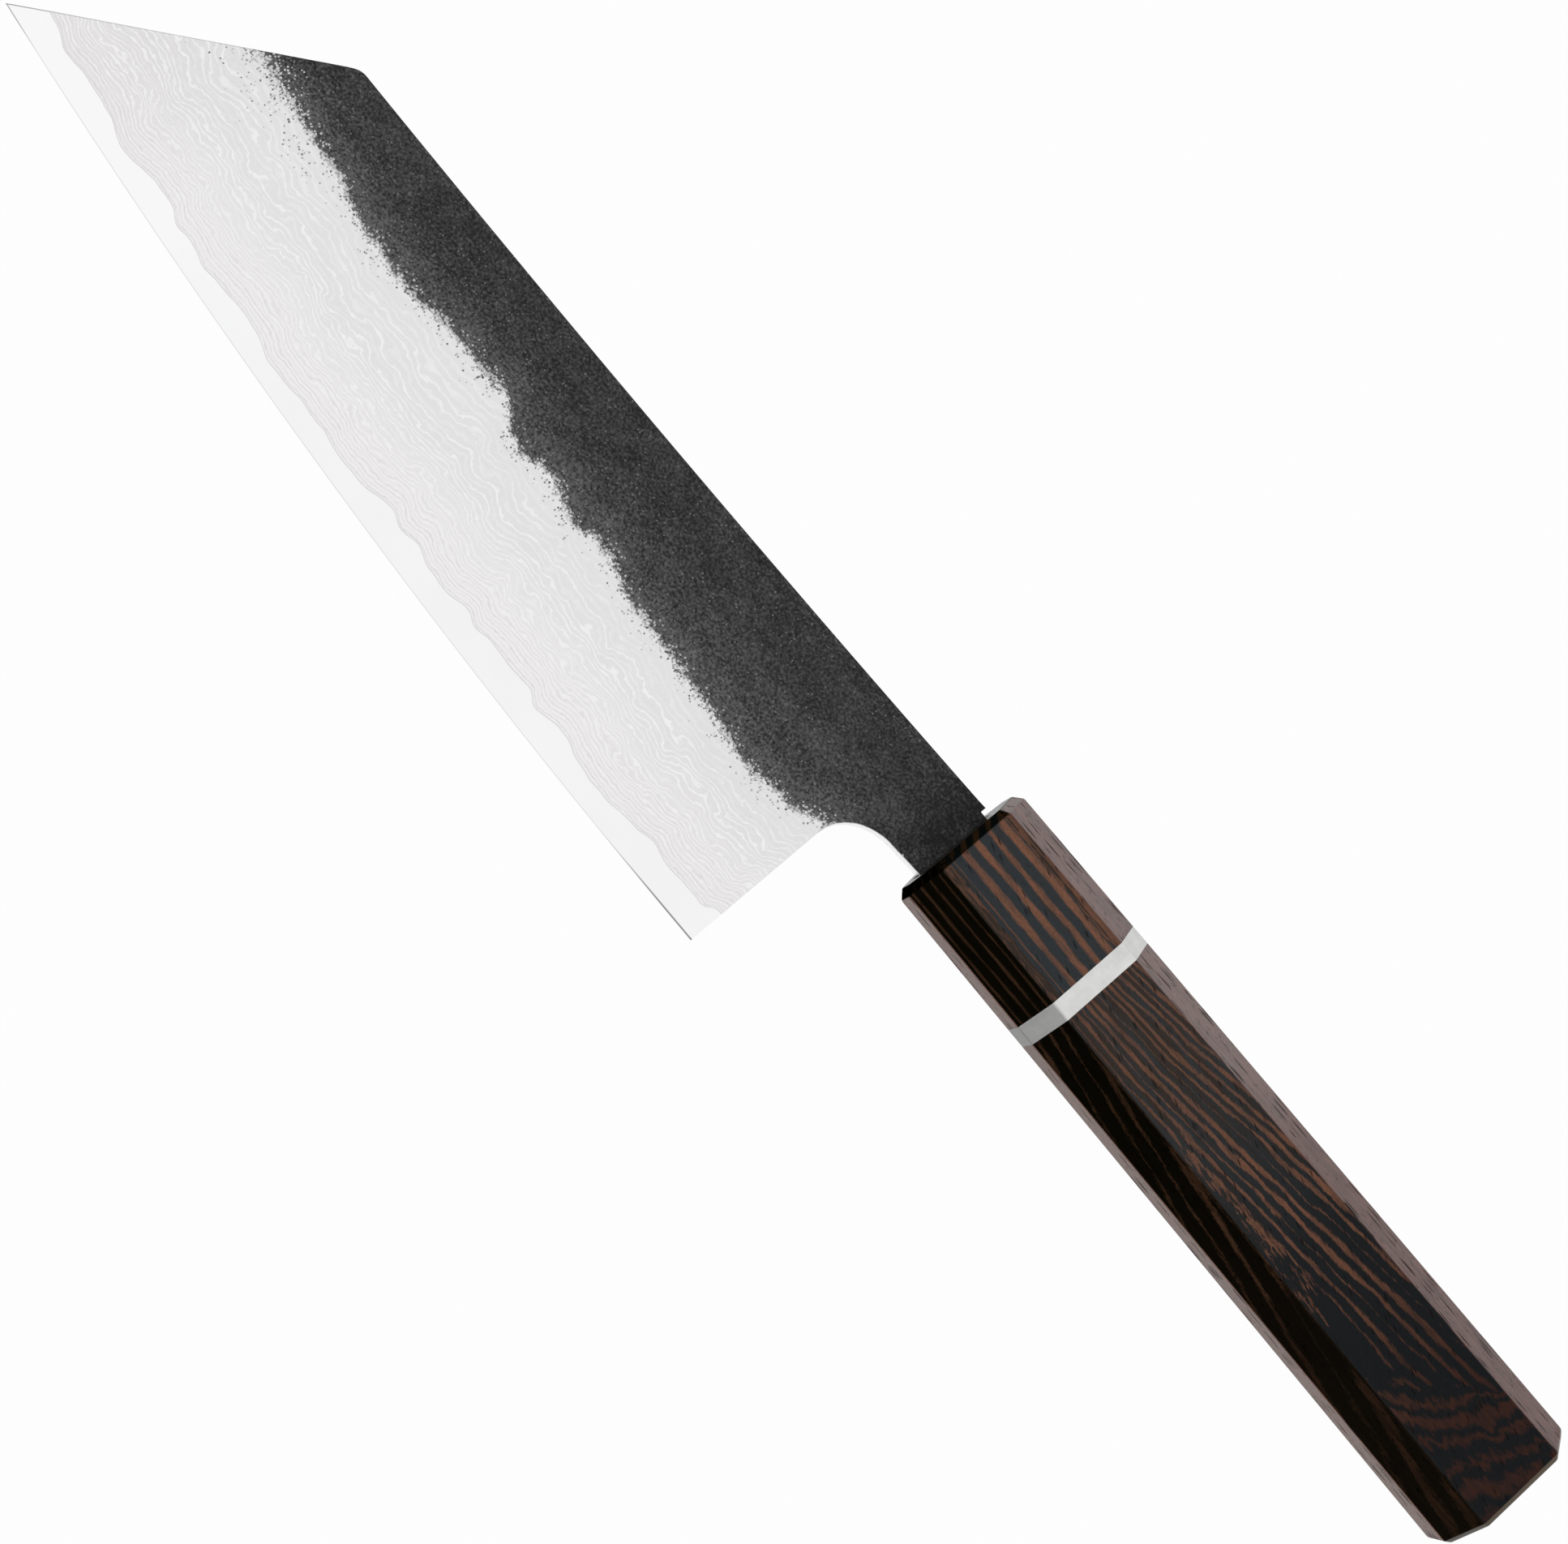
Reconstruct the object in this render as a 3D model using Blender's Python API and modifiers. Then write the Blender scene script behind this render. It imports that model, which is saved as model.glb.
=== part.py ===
"""Bunka knife: a three-layer blade with a clipped tip, a narrow tang and an eight-sided wooden handle.

The blade is one strip of hard core steel with a layer of softer steel forged onto each face. Its tang is
bedded in a wooden dowel, and the dowel holds the ferrule, the white spacer ring and the handle together.

Frame of the drawing: x = 0 is the ferrule's shoulder, +X runs to the butt, +Y to the spine and +Z out of the
blade's left face. The knife lies on the lower side flat of its handle, at world z = 0.
"""
import math

import bmesh
import bpy
from mathutils import Vector, geometry

MM = 0.001

# Blade outline, measured from the ferrule's shoulder along X and from the handle's axis along Y
BLADE_LENGTH = 180.0 * MM
HEEL_SETBACK = 16.8 * MM
EDGE_DEPTH = 42.45 * MM
EDGE_FLAT = 3.2 * MM
TIP_RISE = 12.2 * MM
SPINE_REAR_HEIGHT = 6.9 * MM
SPINE_FRONT_HEIGHT = 6.5 * MM
SPINE_HOLLOW = 0.8 * MM
TIP_ANGLE = math.radians(41.4)
SHOULDER_RADIUS = 3.6 * MM

# Choil, the finger curve between the heel and the underside of the neck
CHOIL_DEPTH = 25.9 * MM
CHOIL_LENGTH = 8.5 * MM
NECK_UNDERSIDE = 8.25 * MM
NECK_FALL = 0.45 * MM

# Notch where the spine steps down to the tang
NOTCH_SETBACK = 2.7 * MM
NOTCH_STEP = 1.0 * MM

# Layers and grind
CORE_THICKNESS = 0.56 * MM
WELD_GAP = 0.02 * MM
CLADDING_LIP = 0.02 * MM
NECK_THICKNESS = 2.6 * MM
SHOULDER_THICKNESS = 1.5 * MM
TIP_THICKNESS = 0.9 * MM
SPINE_EASE = 0.25 * MM
GRIND_HEIGHT_HEEL = 25.4 * MM
GRIND_CLIMB = 12.6 * MM
EDGE_LAND = 0.03 * MM
MICRO_BEVEL_HEIGHT = 0.5 * MM
MICRO_BEVEL_THICKNESS = 0.24 * MM
CORE_SHOWN = 4.3 * MM
STATION_SPACING = 2.5 * MM

# Waves that forging leaves in the line where the core comes out from under the claddings: the way ahead of
# the heel in per cent of the blade's length, and the height there as a share of CORE_SHOWN
LAYER_LINE = (
    (0.7, 1.44), (1.7, 1.14), (3.3, 1.14), (6.5, 1.09), (8.5, 1.24), (10.5, 1.07), (15, 0.86), (18, 0.95),
    (20, 1.13), (21.5, 1.16), (24, 0.92), (25.5, 1.21), (28, 1.13), (30.5, 1.19), (32.5, 1.0), (34, 1.21),
    (37, 0.95), (39, 1.0), (41, 1.17), (43.3, 1.04), (45, 1.24), (48.5, 0.86), (51.5, 0.81), (54, 0.86),
    (55.5, 0.81), (57, 0.86), (60, 0.73), (61.5, 0.67), (64, 0.95), (66, 1.03), (69.5, 0.84), (71.5, 0.74),
    (74, 0.86), (75.5, 0.79), (77.5, 1.05), (79.5, 1.02), (84, 0.67), (87, 0.98), (90.5, 1.05), (93.5, 0.88),
    (96, 1.15), (99.5, 1.3),
)

# Tang
TANG_LENGTH = 88.0 * MM
TANG_SHOULDER = 6.0 * MM
TANG_HEIGHT = 10.2 * MM
TANG_END_HEIGHT = 5.6 * MM
TANG_OFFSET = -0.2 * MM
TANG_END_THICKNESS = 1.6 * MM

# Handle
HANDLE_LENGTH = 130.1 * MM
HANDLE_HEIGHT_FRONT = 24.4 * MM
HANDLE_HEIGHT_BUTT = 26.2 * MM
HANDLE_WIDTH_FRONT = 20.8 * MM
HANDLE_WIDTH_BUTT = 22.3 * MM
FACET_HEIGHT_FRONT = 5.2 * MM
FACET_HEIGHT_BUTT = 5.05 * MM
FACET_WIDTH_FRONT = 7.15 * MM
FACET_WIDTH_BUTT = 7.5 * MM
FRONT_BEVEL_LENGTH = 1.5 * MM
FRONT_BEVEL_INSET = 1.3 * MM
BUTT_BEVEL_LENGTH = 1.1 * MM
BUTT_BEVEL_INSET = 0.9 * MM
EDGE_EASE = 0.3 * MM
FERRULE_LENGTH = 26.4 * MM
RING_LENGTH = 3.5 * MM

# Dowel, tang slot and bedding inside the handle
DOWEL_DIAMETER = 14.6 * MM
DOWEL_START = 6.0 * MM
DOWEL_DEPTH_IN_BODY = 20.5 * MM
DOWEL_CHAMFER = 0.8 * MM
DOWEL_SIDES = 40
GLUE_LINE = 0.05 * MM
DOWEL_FIT = 0.1 * MM
BEDDING_WALL = 0.4 * MM
MOUTH_WALL = 0.6 * MM
BEDDING_FIT = 0.1 * MM
MOUTH_RECESS = 0.25 * MM
SLOT_END_ROOM = 2.0 * MM

TIP_X = -HEEL_SETBACK - BLADE_LENGTH
TIP_Y = TIP_RISE - EDGE_DEPTH
EDGE_FLAT_X = -HEEL_SETBACK - EDGE_FLAT
CORE_HALF = CORE_THICKNESS / 2
CLADDING_INNER = CORE_HALF + WELD_GAP
SHOULDER_X = TIP_X + (SPINE_FRONT_HEIGHT - TIP_Y) / math.tan(TIP_ANGLE)
TANG_TOP = SPINE_REAR_HEIGHT - NOTCH_STEP
TANG_END_X = TANG_LENGTH
RING_X = FERRULE_LENGTH
BODY_X = FERRULE_LENGTH + RING_LENGTH
DOWEL_END = BODY_X + DOWEL_DEPTH_IN_BODY
SLOT_END = TANG_END_X + BEDDING_FIT + SLOT_END_ROOM
BEYOND = 6.0 * MM


def lerp(a, b, t):
    return a + (b - a) * t


def edge_y(x):
    """Cutting edge: flat by the heel, then rising to the tip along a parabola."""
    run = max(0.0, EDGE_FLAT_X - x) / (EDGE_FLAT_X - TIP_X)
    return TIP_RISE * run * run - EDGE_DEPTH


def spine_y(x):
    """Spine: a straight line with a shallow hollow between the clipped shoulder and the notch."""
    t = (x - SHOULDER_X) / (-NOTCH_SETBACK - SHOULDER_X)
    hollow = SPINE_HOLLOW * 4 * t * (1 - t) if 0 < t < 1 else 0.0
    return lerp(SPINE_FRONT_HEIGHT, SPINE_REAR_HEIGHT, t) - hollow


def grind_y(x):
    """Shoulder of the ground bevel, which climbs towards the tip."""
    run = max(0.0, EDGE_FLAT_X - x) / (EDGE_FLAT_X - SHOULDER_X)
    return GRIND_HEIGHT_HEEL - EDGE_DEPTH + GRIND_CLIMB * run * run


def layer_y(x):
    """Line where the core steel comes out from under the cladding, smooth through the waves of LAYER_LINE."""
    ahead = 100 * (-HEEL_SETBACK - x) / BLADE_LENGTH
    share = LAYER_LINE[0][1] if ahead < LAYER_LINE[0][0] else LAYER_LINE[-1][1]
    for (start, low), (end, high) in zip(LAYER_LINE, LAYER_LINE[1:]):
        if start <= ahead < end:
            t = (ahead - start) / (end - start)
            share = lerp(low, high, t * t * (3 - 2 * t))
    return edge_y(x) + CORE_SHOWN * share


def half_thickness(x):
    """Half of the blade's thickness above the bevel: it tapers from the neck to the tip and down the tang."""
    if x > 0:
        return lerp(NECK_THICKNESS, TANG_END_THICKNESS, x / TANG_END_X) / 2
    if x > SHOULDER_X:
        return lerp(NECK_THICKNESS, SHOULDER_THICKNESS, x / SHOULDER_X) / 2
    return lerp(SHOULDER_THICKNESS, TIP_THICKNESS, (SHOULDER_X - x) / (SHOULDER_X - TIP_X)) / 2


def tang_edges(x):
    """Top and bottom of the tang at x, behind the shoulder inside the ferrule."""
    height = lerp(TANG_HEIGHT, TANG_END_HEIGHT, (x - TANG_SHOULDER) / (TANG_END_X - TANG_SHOULDER))
    return TANG_OFFSET + height / 2, TANG_OFFSET - height / 2


def octagon(x, inset=0.0):
    """Corners (y, z) of the handle's eight-sided section at x, with every face moved in by inset."""
    t = x / HANDLE_LENGTH
    height = lerp(HANDLE_HEIGHT_FRONT, HANDLE_HEIGHT_BUTT, t) / 2
    width = lerp(HANDLE_WIDTH_FRONT, HANDLE_WIDTH_BUTT, t) / 2
    facet_h = lerp(FACET_HEIGHT_FRONT, FACET_HEIGHT_BUTT, t)
    facet_w = lerp(FACET_WIDTH_FRONT, FACET_WIDTH_BUTT, t)
    reach = facet_w * (height - facet_h) + facet_h * width - inset * math.hypot(facet_h, facet_w)
    top = height - inset
    side = width - inset
    side_corner = (reach - facet_h * side) / facet_w
    top_corner = (reach - facet_w * top) / facet_h
    quarter = [(side_corner, side), (top, top_corner)]
    half = quarter + [(y, -z) for y, z in reversed(quarter)]
    return half + [(-y, z) for y, z in reversed(half)]


def principled(name, colour, roughness, metallic=0.0):
    """Plain material of one sub-part."""
    material = bpy.data.materials.new(name)
    material.use_nodes = True
    shader = material.node_tree.nodes["Principled BSDF"]
    shader.inputs["Base Color"].default_value = (*colour, 1.0)
    shader.inputs["Roughness"].default_value = roughness
    shader.inputs["Metallic"].default_value = metallic
    return material


def new_collection(name):
    collection = bpy.data.collections.new(name)
    bpy.context.scene.collection.children.link(collection)
    return collection


def clear_scene():
    for obj in list(bpy.data.objects):
        bpy.data.objects.remove(obj, do_unlink=True)


def add_object(name, mesh, collection, axis):
    """Put a mesh into the knife's frame."""
    obj = bpy.data.objects.new(name, mesh)
    collection.objects.link(obj)
    obj.parent = axis
    return obj


def make_cutter(obj):
    obj.hide_render = True
    obj.display_type = "WIRE"
    return obj


def loft(name, sections, eased=False):
    """Mesh through closed sections of equal point count, each given as x and its (y, z) corners."""
    bm = bmesh.new()
    weight = bm.edges.layers.float.new("bevel_weight_edge")
    rings = [[bm.verts.new((x, y, z)) for y, z in corners] for x, corners in sections]
    for first, second in zip(rings, rings[1:]):
        for i in range(len(first)):
            j = (i + 1) % len(first)
            bm.faces.new((first[i], first[j], second[j], second[i]))
    bm.faces.new(list(reversed(rings[0])))
    bm.faces.new(rings[-1])
    bmesh.ops.recalc_face_normals(bm, faces=bm.faces)
    if eased:
        outer_ends = (-FRONT_BEVEL_LENGTH, HANDLE_LENGTH + BUTT_BEVEL_LENGTH)
        joints = [x for x, _ in (sections[0], sections[-1]) if x not in outer_ends]
        for edge in bm.edges:
            at_joint = any(all(abs(vert.co.x - x) < GLUE_LINE / 2 for vert in edge.verts) for x in joints)
            edge[weight] = 0.0 if at_joint else 1.0
    mesh = bpy.data.meshes.new(name)
    bm.to_mesh(mesh)
    bm.free()
    return mesh


def boolean(obj, cutter, operation="DIFFERENCE"):
    cut = obj.modifiers.new(cutter.name, "BOOLEAN")
    cut.operation = operation
    cut.object = cutter


def arc(centre, radius, start, end, steps):
    """Points of a round stretch of an outline."""
    angles = [lerp(start, end, i / steps) for i in range(steps + 1)]
    return [(centre[0] + radius * math.cos(a), centre[1] + radius * math.sin(a)) for a in angles]


def shoulder_points():
    """Rounded corner between the clipped tip line and the spine."""
    reach = SHOULDER_RADIUS * math.tan(TIP_ANGLE / 2)
    centre_x = SHOULDER_X + reach
    centre_y = spine_y(centre_x) - SHOULDER_RADIUS
    return arc((centre_x, centre_y), SHOULDER_RADIUS, math.pi / 2 + TIP_ANGLE, math.pi / 2, 6)


def choil_points():
    """Finger curve from the heel's rear edge to the underside of the neck."""
    low = Vector((-HEEL_SETBACK, CHOIL_DEPTH - EDGE_DEPTH, 0))
    high = Vector((CHOIL_LENGTH - HEEL_SETBACK, -NECK_UNDERSIDE - NECK_FALL, 0))
    rise = high.y - low.y
    pull_up = low + Vector((0, 0.55 * rise, 0))
    pull_back = high - Vector((0.55 * CHOIL_LENGTH, 0.05 * rise, 0))
    return [(p.x, p.y) for p in geometry.interpolate_bezier(low, pull_up, pull_back, high, 12)]


def blade_outline():
    """Side view of the whole forging: clipped tip, notch, tang, neck, choil and heel.

    Along the spine and the cutting edge it runs outside the steel, because the grind makes those.
    """
    above = max(SPINE_FRONT_HEIGHT, SPINE_REAR_HEIGHT) + BEYOND
    below = -EDGE_DEPTH - BEYOND
    tip_low_x = TIP_X - (TIP_Y - below) / math.tan(TIP_ANGLE)
    tang_top, tang_bottom = tang_edges(TANG_SHOULDER)
    end_top, end_bottom = tang_edges(TANG_END_X)
    end_nose = (end_top - end_bottom) / 4
    points = [(tip_low_x, below)]
    points += shoulder_points()
    points += [(points[-1][0], above), (-NOTCH_SETBACK, above), (-NOTCH_SETBACK, TANG_TOP), (0.0, TANG_TOP)]
    points += [(TANG_SHOULDER, tang_top), (TANG_END_X - end_nose, end_top), (TANG_END_X, end_top - end_nose)]
    points += [(TANG_END_X, end_bottom + end_nose), (TANG_END_X - end_nose, end_bottom)]
    points += [(TANG_SHOULDER, tang_bottom), (0.0, -NECK_UNDERSIDE)]
    points += list(reversed(choil_points()))
    points += [(-HEEL_SETBACK, below)]
    return points


def outline_cutter(collection, axis):
    """The blade's side view as a thick plate, which trims all three layers."""
    curve = bpy.data.curves.new("outline", "CURVE")
    curve.dimensions = "2D"
    curve.fill_mode = "BOTH"
    curve.extrude = NECK_THICKNESS
    points = blade_outline()
    spline = curve.splines.new("POLY")
    spline.points.add(len(points) - 1)
    for point, (x, y) in zip(spline.points, points):
        point.co = (x, y, 0, 1)
    spline.use_cyclic_u = True
    flat = add_object("outline_curve", curve, collection, axis)
    bpy.context.view_layer.update()
    depsgraph = bpy.context.evaluated_depsgraph_get()
    mesh = bpy.data.meshes.new_from_object(flat.evaluated_get(depsgraph))
    bpy.data.objects.remove(flat, do_unlink=True)
    bm = bmesh.new()
    bm.from_mesh(mesh)
    bmesh.ops.remove_doubles(bm, verts=bm.verts, dist=0.001 * MM)
    bmesh.ops.recalc_face_normals(bm, faces=bm.faces)
    bm.to_mesh(mesh)
    bm.free()
    return make_cutter(add_object("blade_outline", mesh, collection, axis))


def blade_stations():
    """Places along the blade where its section is drawn: close on the ground part, few on the tang."""
    count = max(8, round((BLADE_LENGTH + HEEL_SETBACK + 2 * MM) / STATION_SPACING))
    ground = [lerp(TIP_X - 2 * MM, 0.0, i / count) for i in range(count + 1)]
    return ground + [TANG_END_X + BEYOND]


def core_section(x):
    """Section of the core steel: even thickness, then ground to the edge with a fine second bevel."""
    low = edge_y(x)
    side = [(low, EDGE_LAND / 2), (low + MICRO_BEVEL_HEIGHT, MICRO_BEVEL_THICKNESS / 2)]
    side += [(layer_y(x), CORE_HALF), (spine_y(x), CORE_HALF)]
    return side + [(y, -z) for y, z in reversed(side)]


def cladding_section(x, side):
    """Section of one cladding layer: flat on the core, with an eased spine and the ground bevel outside."""
    half = half_thickness(x)
    top = spine_y(x)
    outer = [(layer_y(x), CLADDING_INNER), (layer_y(x), CLADDING_INNER + CLADDING_LIP), (grind_y(x), half)]
    outer += [(top - SPINE_EASE, half), (top, half - SPINE_EASE), (top, CLADDING_INNER)]
    return [(y, side * z) for y, z in outer]


def build_core(collection, outline, axis):
    mesh = loft("core_steel", [(x, core_section(x)) for x in blade_stations()])
    core = add_object("core_steel", mesh, collection, axis)
    boolean(core, outline, "INTERSECT")
    mesh.materials.append(principled("core_steel", (0.78, 0.79, 0.80), 0.28, 1.0))


def build_cladding(name, side, collection, outline, axis):
    """One layer of softer steel: forge scale above the bevel, ground and etched below it."""
    mesh = loft(name, [(x, cladding_section(x, side)) for x in blade_stations()])
    cladding = add_object(name, mesh, collection, axis)
    boolean(cladding, outline, "INTERSECT")
    mesh.materials.append(principled(name + "_scale", (0.045, 0.045, 0.048), 0.6, 0.6))
    mesh.materials.append(principled(name + "_ground", (0.62, 0.63, 0.64), 0.32, 1.0))
    for face in mesh.polygons:
        if face.center.y < grind_y(face.center.x) and abs(face.normal.z) > 0.9:
            face.material_index = 1


def box(name, x_range, y_range, half_z, collection, axis):
    """A box between two planes on each axis."""
    bpy.ops.mesh.primitive_cube_add(size=1)
    block = bpy.context.object
    block.name = name
    for owner in list(block.users_collection):
        owner.objects.unlink(block)
    collection.objects.link(block)
    size = (x_range[1] - x_range[0], y_range[1] - y_range[0], 2 * half_z)
    for vert in block.data.vertices:
        vert.co = [c * s for c, s in zip(vert.co, size)]
    block.parent = axis
    block.location = (sum(x_range) / 2, sum(y_range) / 2, 0)
    return block


def rod(name, radius, start, end, collection, axis):
    """A round bar along X."""
    bpy.ops.mesh.primitive_cylinder_add(vertices=DOWEL_SIDES, radius=radius, depth=end - start)
    bar = bpy.context.object
    bar.name = name
    for owner in list(bar.users_collection):
        owner.objects.unlink(bar)
    collection.objects.link(bar)
    bar.parent = axis
    bar.rotation_euler = (0, math.pi / 2, 0)
    bar.location = ((start + end) / 2, 0, 0)
    return bar


def slot_limits(room):
    """Top, bottom and half width of the slot in the dowel and the body, less room on each side."""
    tang_top, tang_bottom = tang_edges(TANG_SHOULDER)
    margin = BEDDING_FIT + BEDDING_WALL + GLUE_LINE - room
    return tang_top + margin, tang_bottom - margin, NECK_THICKNESS / 2 + margin


def mouth_limits(room):
    """Top, bottom and half width of the ferrule's mouth, less room on each side."""
    margin = BEDDING_FIT + MOUTH_WALL + GLUE_LINE - room
    return TANG_TOP + margin, -NECK_UNDERSIDE - margin, NECK_THICKNESS / 2 + margin


def ease_edges(obj):
    ease = obj.modifiers.new("eased edges", "BEVEL")
    ease.limit_method = "WEIGHT"
    ease.width = EDGE_EASE
    ease.segments = 2


def handle_piece(name, stations, material, collection, axis):
    """One length of the eight-sided handle, with eased long edges and square joint faces."""
    mesh = loft(name, [(x, octagon(x, inset)) for x, inset in stations], eased=True)
    piece = add_object(name, mesh, collection, axis)
    mesh.materials.append(material)
    ease_edges(piece)
    return piece


def build_handle(collection, cutters, axis):
    """Ferrule, spacer ring and handle body, bored for the dowel and slotted for the tang."""
    wenge = principled("wenge", (0.045, 0.028, 0.022), 0.45)
    white = principled("white_spacer", (0.80, 0.80, 0.77), 0.35)
    butt_x = HANDLE_LENGTH + BUTT_BEVEL_LENGTH
    front = [(-FRONT_BEVEL_LENGTH, FRONT_BEVEL_INSET), (0.0, 0.0), (RING_X - GLUE_LINE, 0.0)]
    ferrule = handle_piece("ferrule", front, wenge, collection, axis)
    ring = handle_piece("spacer_ring", [(RING_X, 0.0), (BODY_X - GLUE_LINE, 0.0)], white, collection, axis)
    rear = [(BODY_X, 0.0), (HANDLE_LENGTH, 0.0), (butt_x, BUTT_BEVEL_INSET)]
    body = handle_piece("handle_body", rear, wenge.copy(), collection, axis)

    bore_radius = DOWEL_DIAMETER / 2 + DOWEL_FIT
    bore_x = (DOWEL_START - DOWEL_FIT, DOWEL_END + DOWEL_FIT)
    bore = make_cutter(rod("dowel_bore", bore_radius, *bore_x, cutters, axis))
    top, bottom, half = mouth_limits(0.0)
    mouth = make_cutter(box("mouth", (-BEYOND, DOWEL_START), (bottom, top), half, cutters, axis))
    top, bottom, half = slot_limits(0.0)
    slot_x = (DOWEL_START - DOWEL_CHAMFER, SLOT_END)
    slot = make_cutter(box("tang_slot", slot_x, (bottom, top), half, cutters, axis))
    boolean(ferrule, bore)
    boolean(ferrule, mouth)
    boolean(ring, bore)
    boolean(body, bore)
    boolean(body, slot)
    return slot


def build_dowel(collection, slot, axis):
    """Wooden pin that joins the three lengths of the handle, slotted for the tang."""
    dowel = rod("dowel", DOWEL_DIAMETER / 2, DOWEL_START, DOWEL_END, collection, axis)
    dowel.data.materials.append(principled("dowel_wood", (0.45, 0.32, 0.20), 0.6))
    chamfer = dowel.modifiers.new("chamfered ends", "BEVEL")
    chamfer.width = DOWEL_CHAMFER
    chamfer.segments = 1
    chamfer.angle_limit = math.radians(60)
    boolean(dowel, slot)


def build_bedding(collection, cutters, axis):
    """Cured resin between the tang and the wood: a tight sleeve, wider in the ferrule's mouth."""
    step = DOWEL_START - DOWEL_FIT - GLUE_LINE
    top, bottom, half = slot_limits(GLUE_LINE)
    bedding = box("tang_bedding", (0.0, SLOT_END - GLUE_LINE), (bottom, top), half, collection, axis)
    top, bottom, half = mouth_limits(GLUE_LINE)
    collar_x = (MOUTH_RECESS - FRONT_BEVEL_LENGTH, step)
    collar = make_cutter(box("mouth_collar", collar_x, (bottom, top), half, cutters, axis))

    def around_tang(x, top, bottom):
        half = half_thickness(x) + BEDDING_FIT
        corners = [(top, half), (top, -half), (bottom, -half), (bottom, half)]
        return x, [(y + math.copysign(BEDDING_FIT, y), z) for y, z in corners]

    tang_room = [around_tang(x, TANG_TOP, -NECK_UNDERSIDE) for x in (-BEYOND, 0.0)]
    tang_room += [around_tang(x, *tang_edges(x)) for x in (TANG_SHOULDER, TANG_END_X + BEDDING_FIT)]
    hollow = make_cutter(add_object("tang_room", loft("tang_room", tang_room), cutters, axis))
    boolean(bedding, collar, "UNION")
    boolean(bedding, hollow)
    bedding.data.materials.append(principled("bedding_resin", (0.30, 0.24, 0.16), 0.35))


def main():
    clear_scene()
    parts = new_collection("bunka_knife")
    cutters = new_collection("cutters")
    axis = bpy.data.objects.new("knife_axis", None)
    parts.objects.link(axis)
    centre_x = (TIP_X + HANDLE_LENGTH + BUTT_BEVEL_LENGTH) / 2
    highest = max(HANDLE_HEIGHT_FRONT, HANDLE_HEIGHT_BUTT) / 2
    axis.location = (-centre_x, -(highest - EDGE_DEPTH) / 2, max(HANDLE_WIDTH_FRONT, HANDLE_WIDTH_BUTT) / 2)
    bpy.context.view_layer.update()

    outline = outline_cutter(cutters, axis)
    build_core(parts, outline, axis)
    build_cladding("left_cladding", 1, parts, outline, axis)
    build_cladding("right_cladding", -1, parts, outline, axis)
    slot = build_handle(parts, cutters, axis)
    build_dowel(parts, slot, axis)
    build_bedding(parts, cutters, axis)


main()
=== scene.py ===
"""Bunka knife: the looks of a three-layer blade and an eight-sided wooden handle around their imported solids.

Frame of the drawing: x = 0 is the ferrule's shoulder, +X runs to the butt, +Y to the spine and +Z out of the
blade's left face. The knife lies on the lower side flat of its handle, at world z = 0.
"""
import math
from types import SimpleNamespace

import bmesh
import bpy
import numpy as np
from bpy.props import FloatProperty, FloatVectorProperty, PointerProperty
from mathutils import Matrix, Vector, geometry, noise


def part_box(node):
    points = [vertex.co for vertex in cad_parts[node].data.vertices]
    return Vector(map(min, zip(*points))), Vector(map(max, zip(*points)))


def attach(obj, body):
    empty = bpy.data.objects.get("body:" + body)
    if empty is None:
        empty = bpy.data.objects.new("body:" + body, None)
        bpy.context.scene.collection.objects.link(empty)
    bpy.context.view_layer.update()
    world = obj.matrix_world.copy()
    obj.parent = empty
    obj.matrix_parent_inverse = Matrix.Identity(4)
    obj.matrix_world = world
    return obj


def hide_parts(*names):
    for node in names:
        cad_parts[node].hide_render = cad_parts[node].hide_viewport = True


bl_info = {
    "name": "Bunka Knife",
    "version": (1, 0, 0),
    "blender": (4, 5, 0),
    "location": "View3D > Sidebar > Knife",
    "description": "Dresses the packed solids of a bunka knife and sets up its studio",
    "category": "Object",
}

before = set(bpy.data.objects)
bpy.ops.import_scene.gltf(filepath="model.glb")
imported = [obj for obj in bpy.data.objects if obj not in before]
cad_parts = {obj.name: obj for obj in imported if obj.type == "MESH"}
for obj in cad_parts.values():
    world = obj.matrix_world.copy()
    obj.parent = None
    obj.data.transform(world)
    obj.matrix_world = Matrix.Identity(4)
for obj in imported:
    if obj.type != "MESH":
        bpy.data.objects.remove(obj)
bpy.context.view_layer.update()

MM = 0.001

# Stage, in metres
CAMERA_PLACE = (0.00534, -0.1099, 0.5195)
CAMERA_TILT = math.radians(12.27)
CAMERA_ROLL = math.radians(49.99)
SOFTBOX_PLACE = (0.1, 0.53, 1.7)
SOFTBOX_SIZE = (2.4, 2.0)
FLOOR_SIZE = 14.0

# Blade outline, as in the part's source
BLADE_LENGTH = 180.0 * MM
HEEL_X = -16.8 * MM
EDGE_DEPTH = 42.45 * MM
EDGE_FLAT = 3.2 * MM
TIP_RISE = 12.2 * MM
SPINE_REAR_HEIGHT = 6.9 * MM
SPINE_FRONT_HEIGHT = 6.5 * MM
SPINE_HOLLOW = 0.8 * MM
TIP_ANGLE = math.radians(41.4)
SHOULDER_RADIUS = 3.6 * MM
CHOIL_Y = -16.55 * MM
CHOIL_LENGTH = 8.5 * MM
NECK_UNDERSIDE = 8.25 * MM
NECK_FALL = 0.45 * MM
NOTCH_SETBACK = 2.7 * MM
NOTCH_STEP = 1.0 * MM
TANG_LENGTH = 88.0 * MM
TANG_SHOULDER = 6.0 * MM
TANG_HEIGHT = 10.2 * MM
TANG_END_HEIGHT = 5.6 * MM
TANG_OFFSET = -0.2 * MM
TANG_END_THICKNESS = 1.6 * MM

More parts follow.
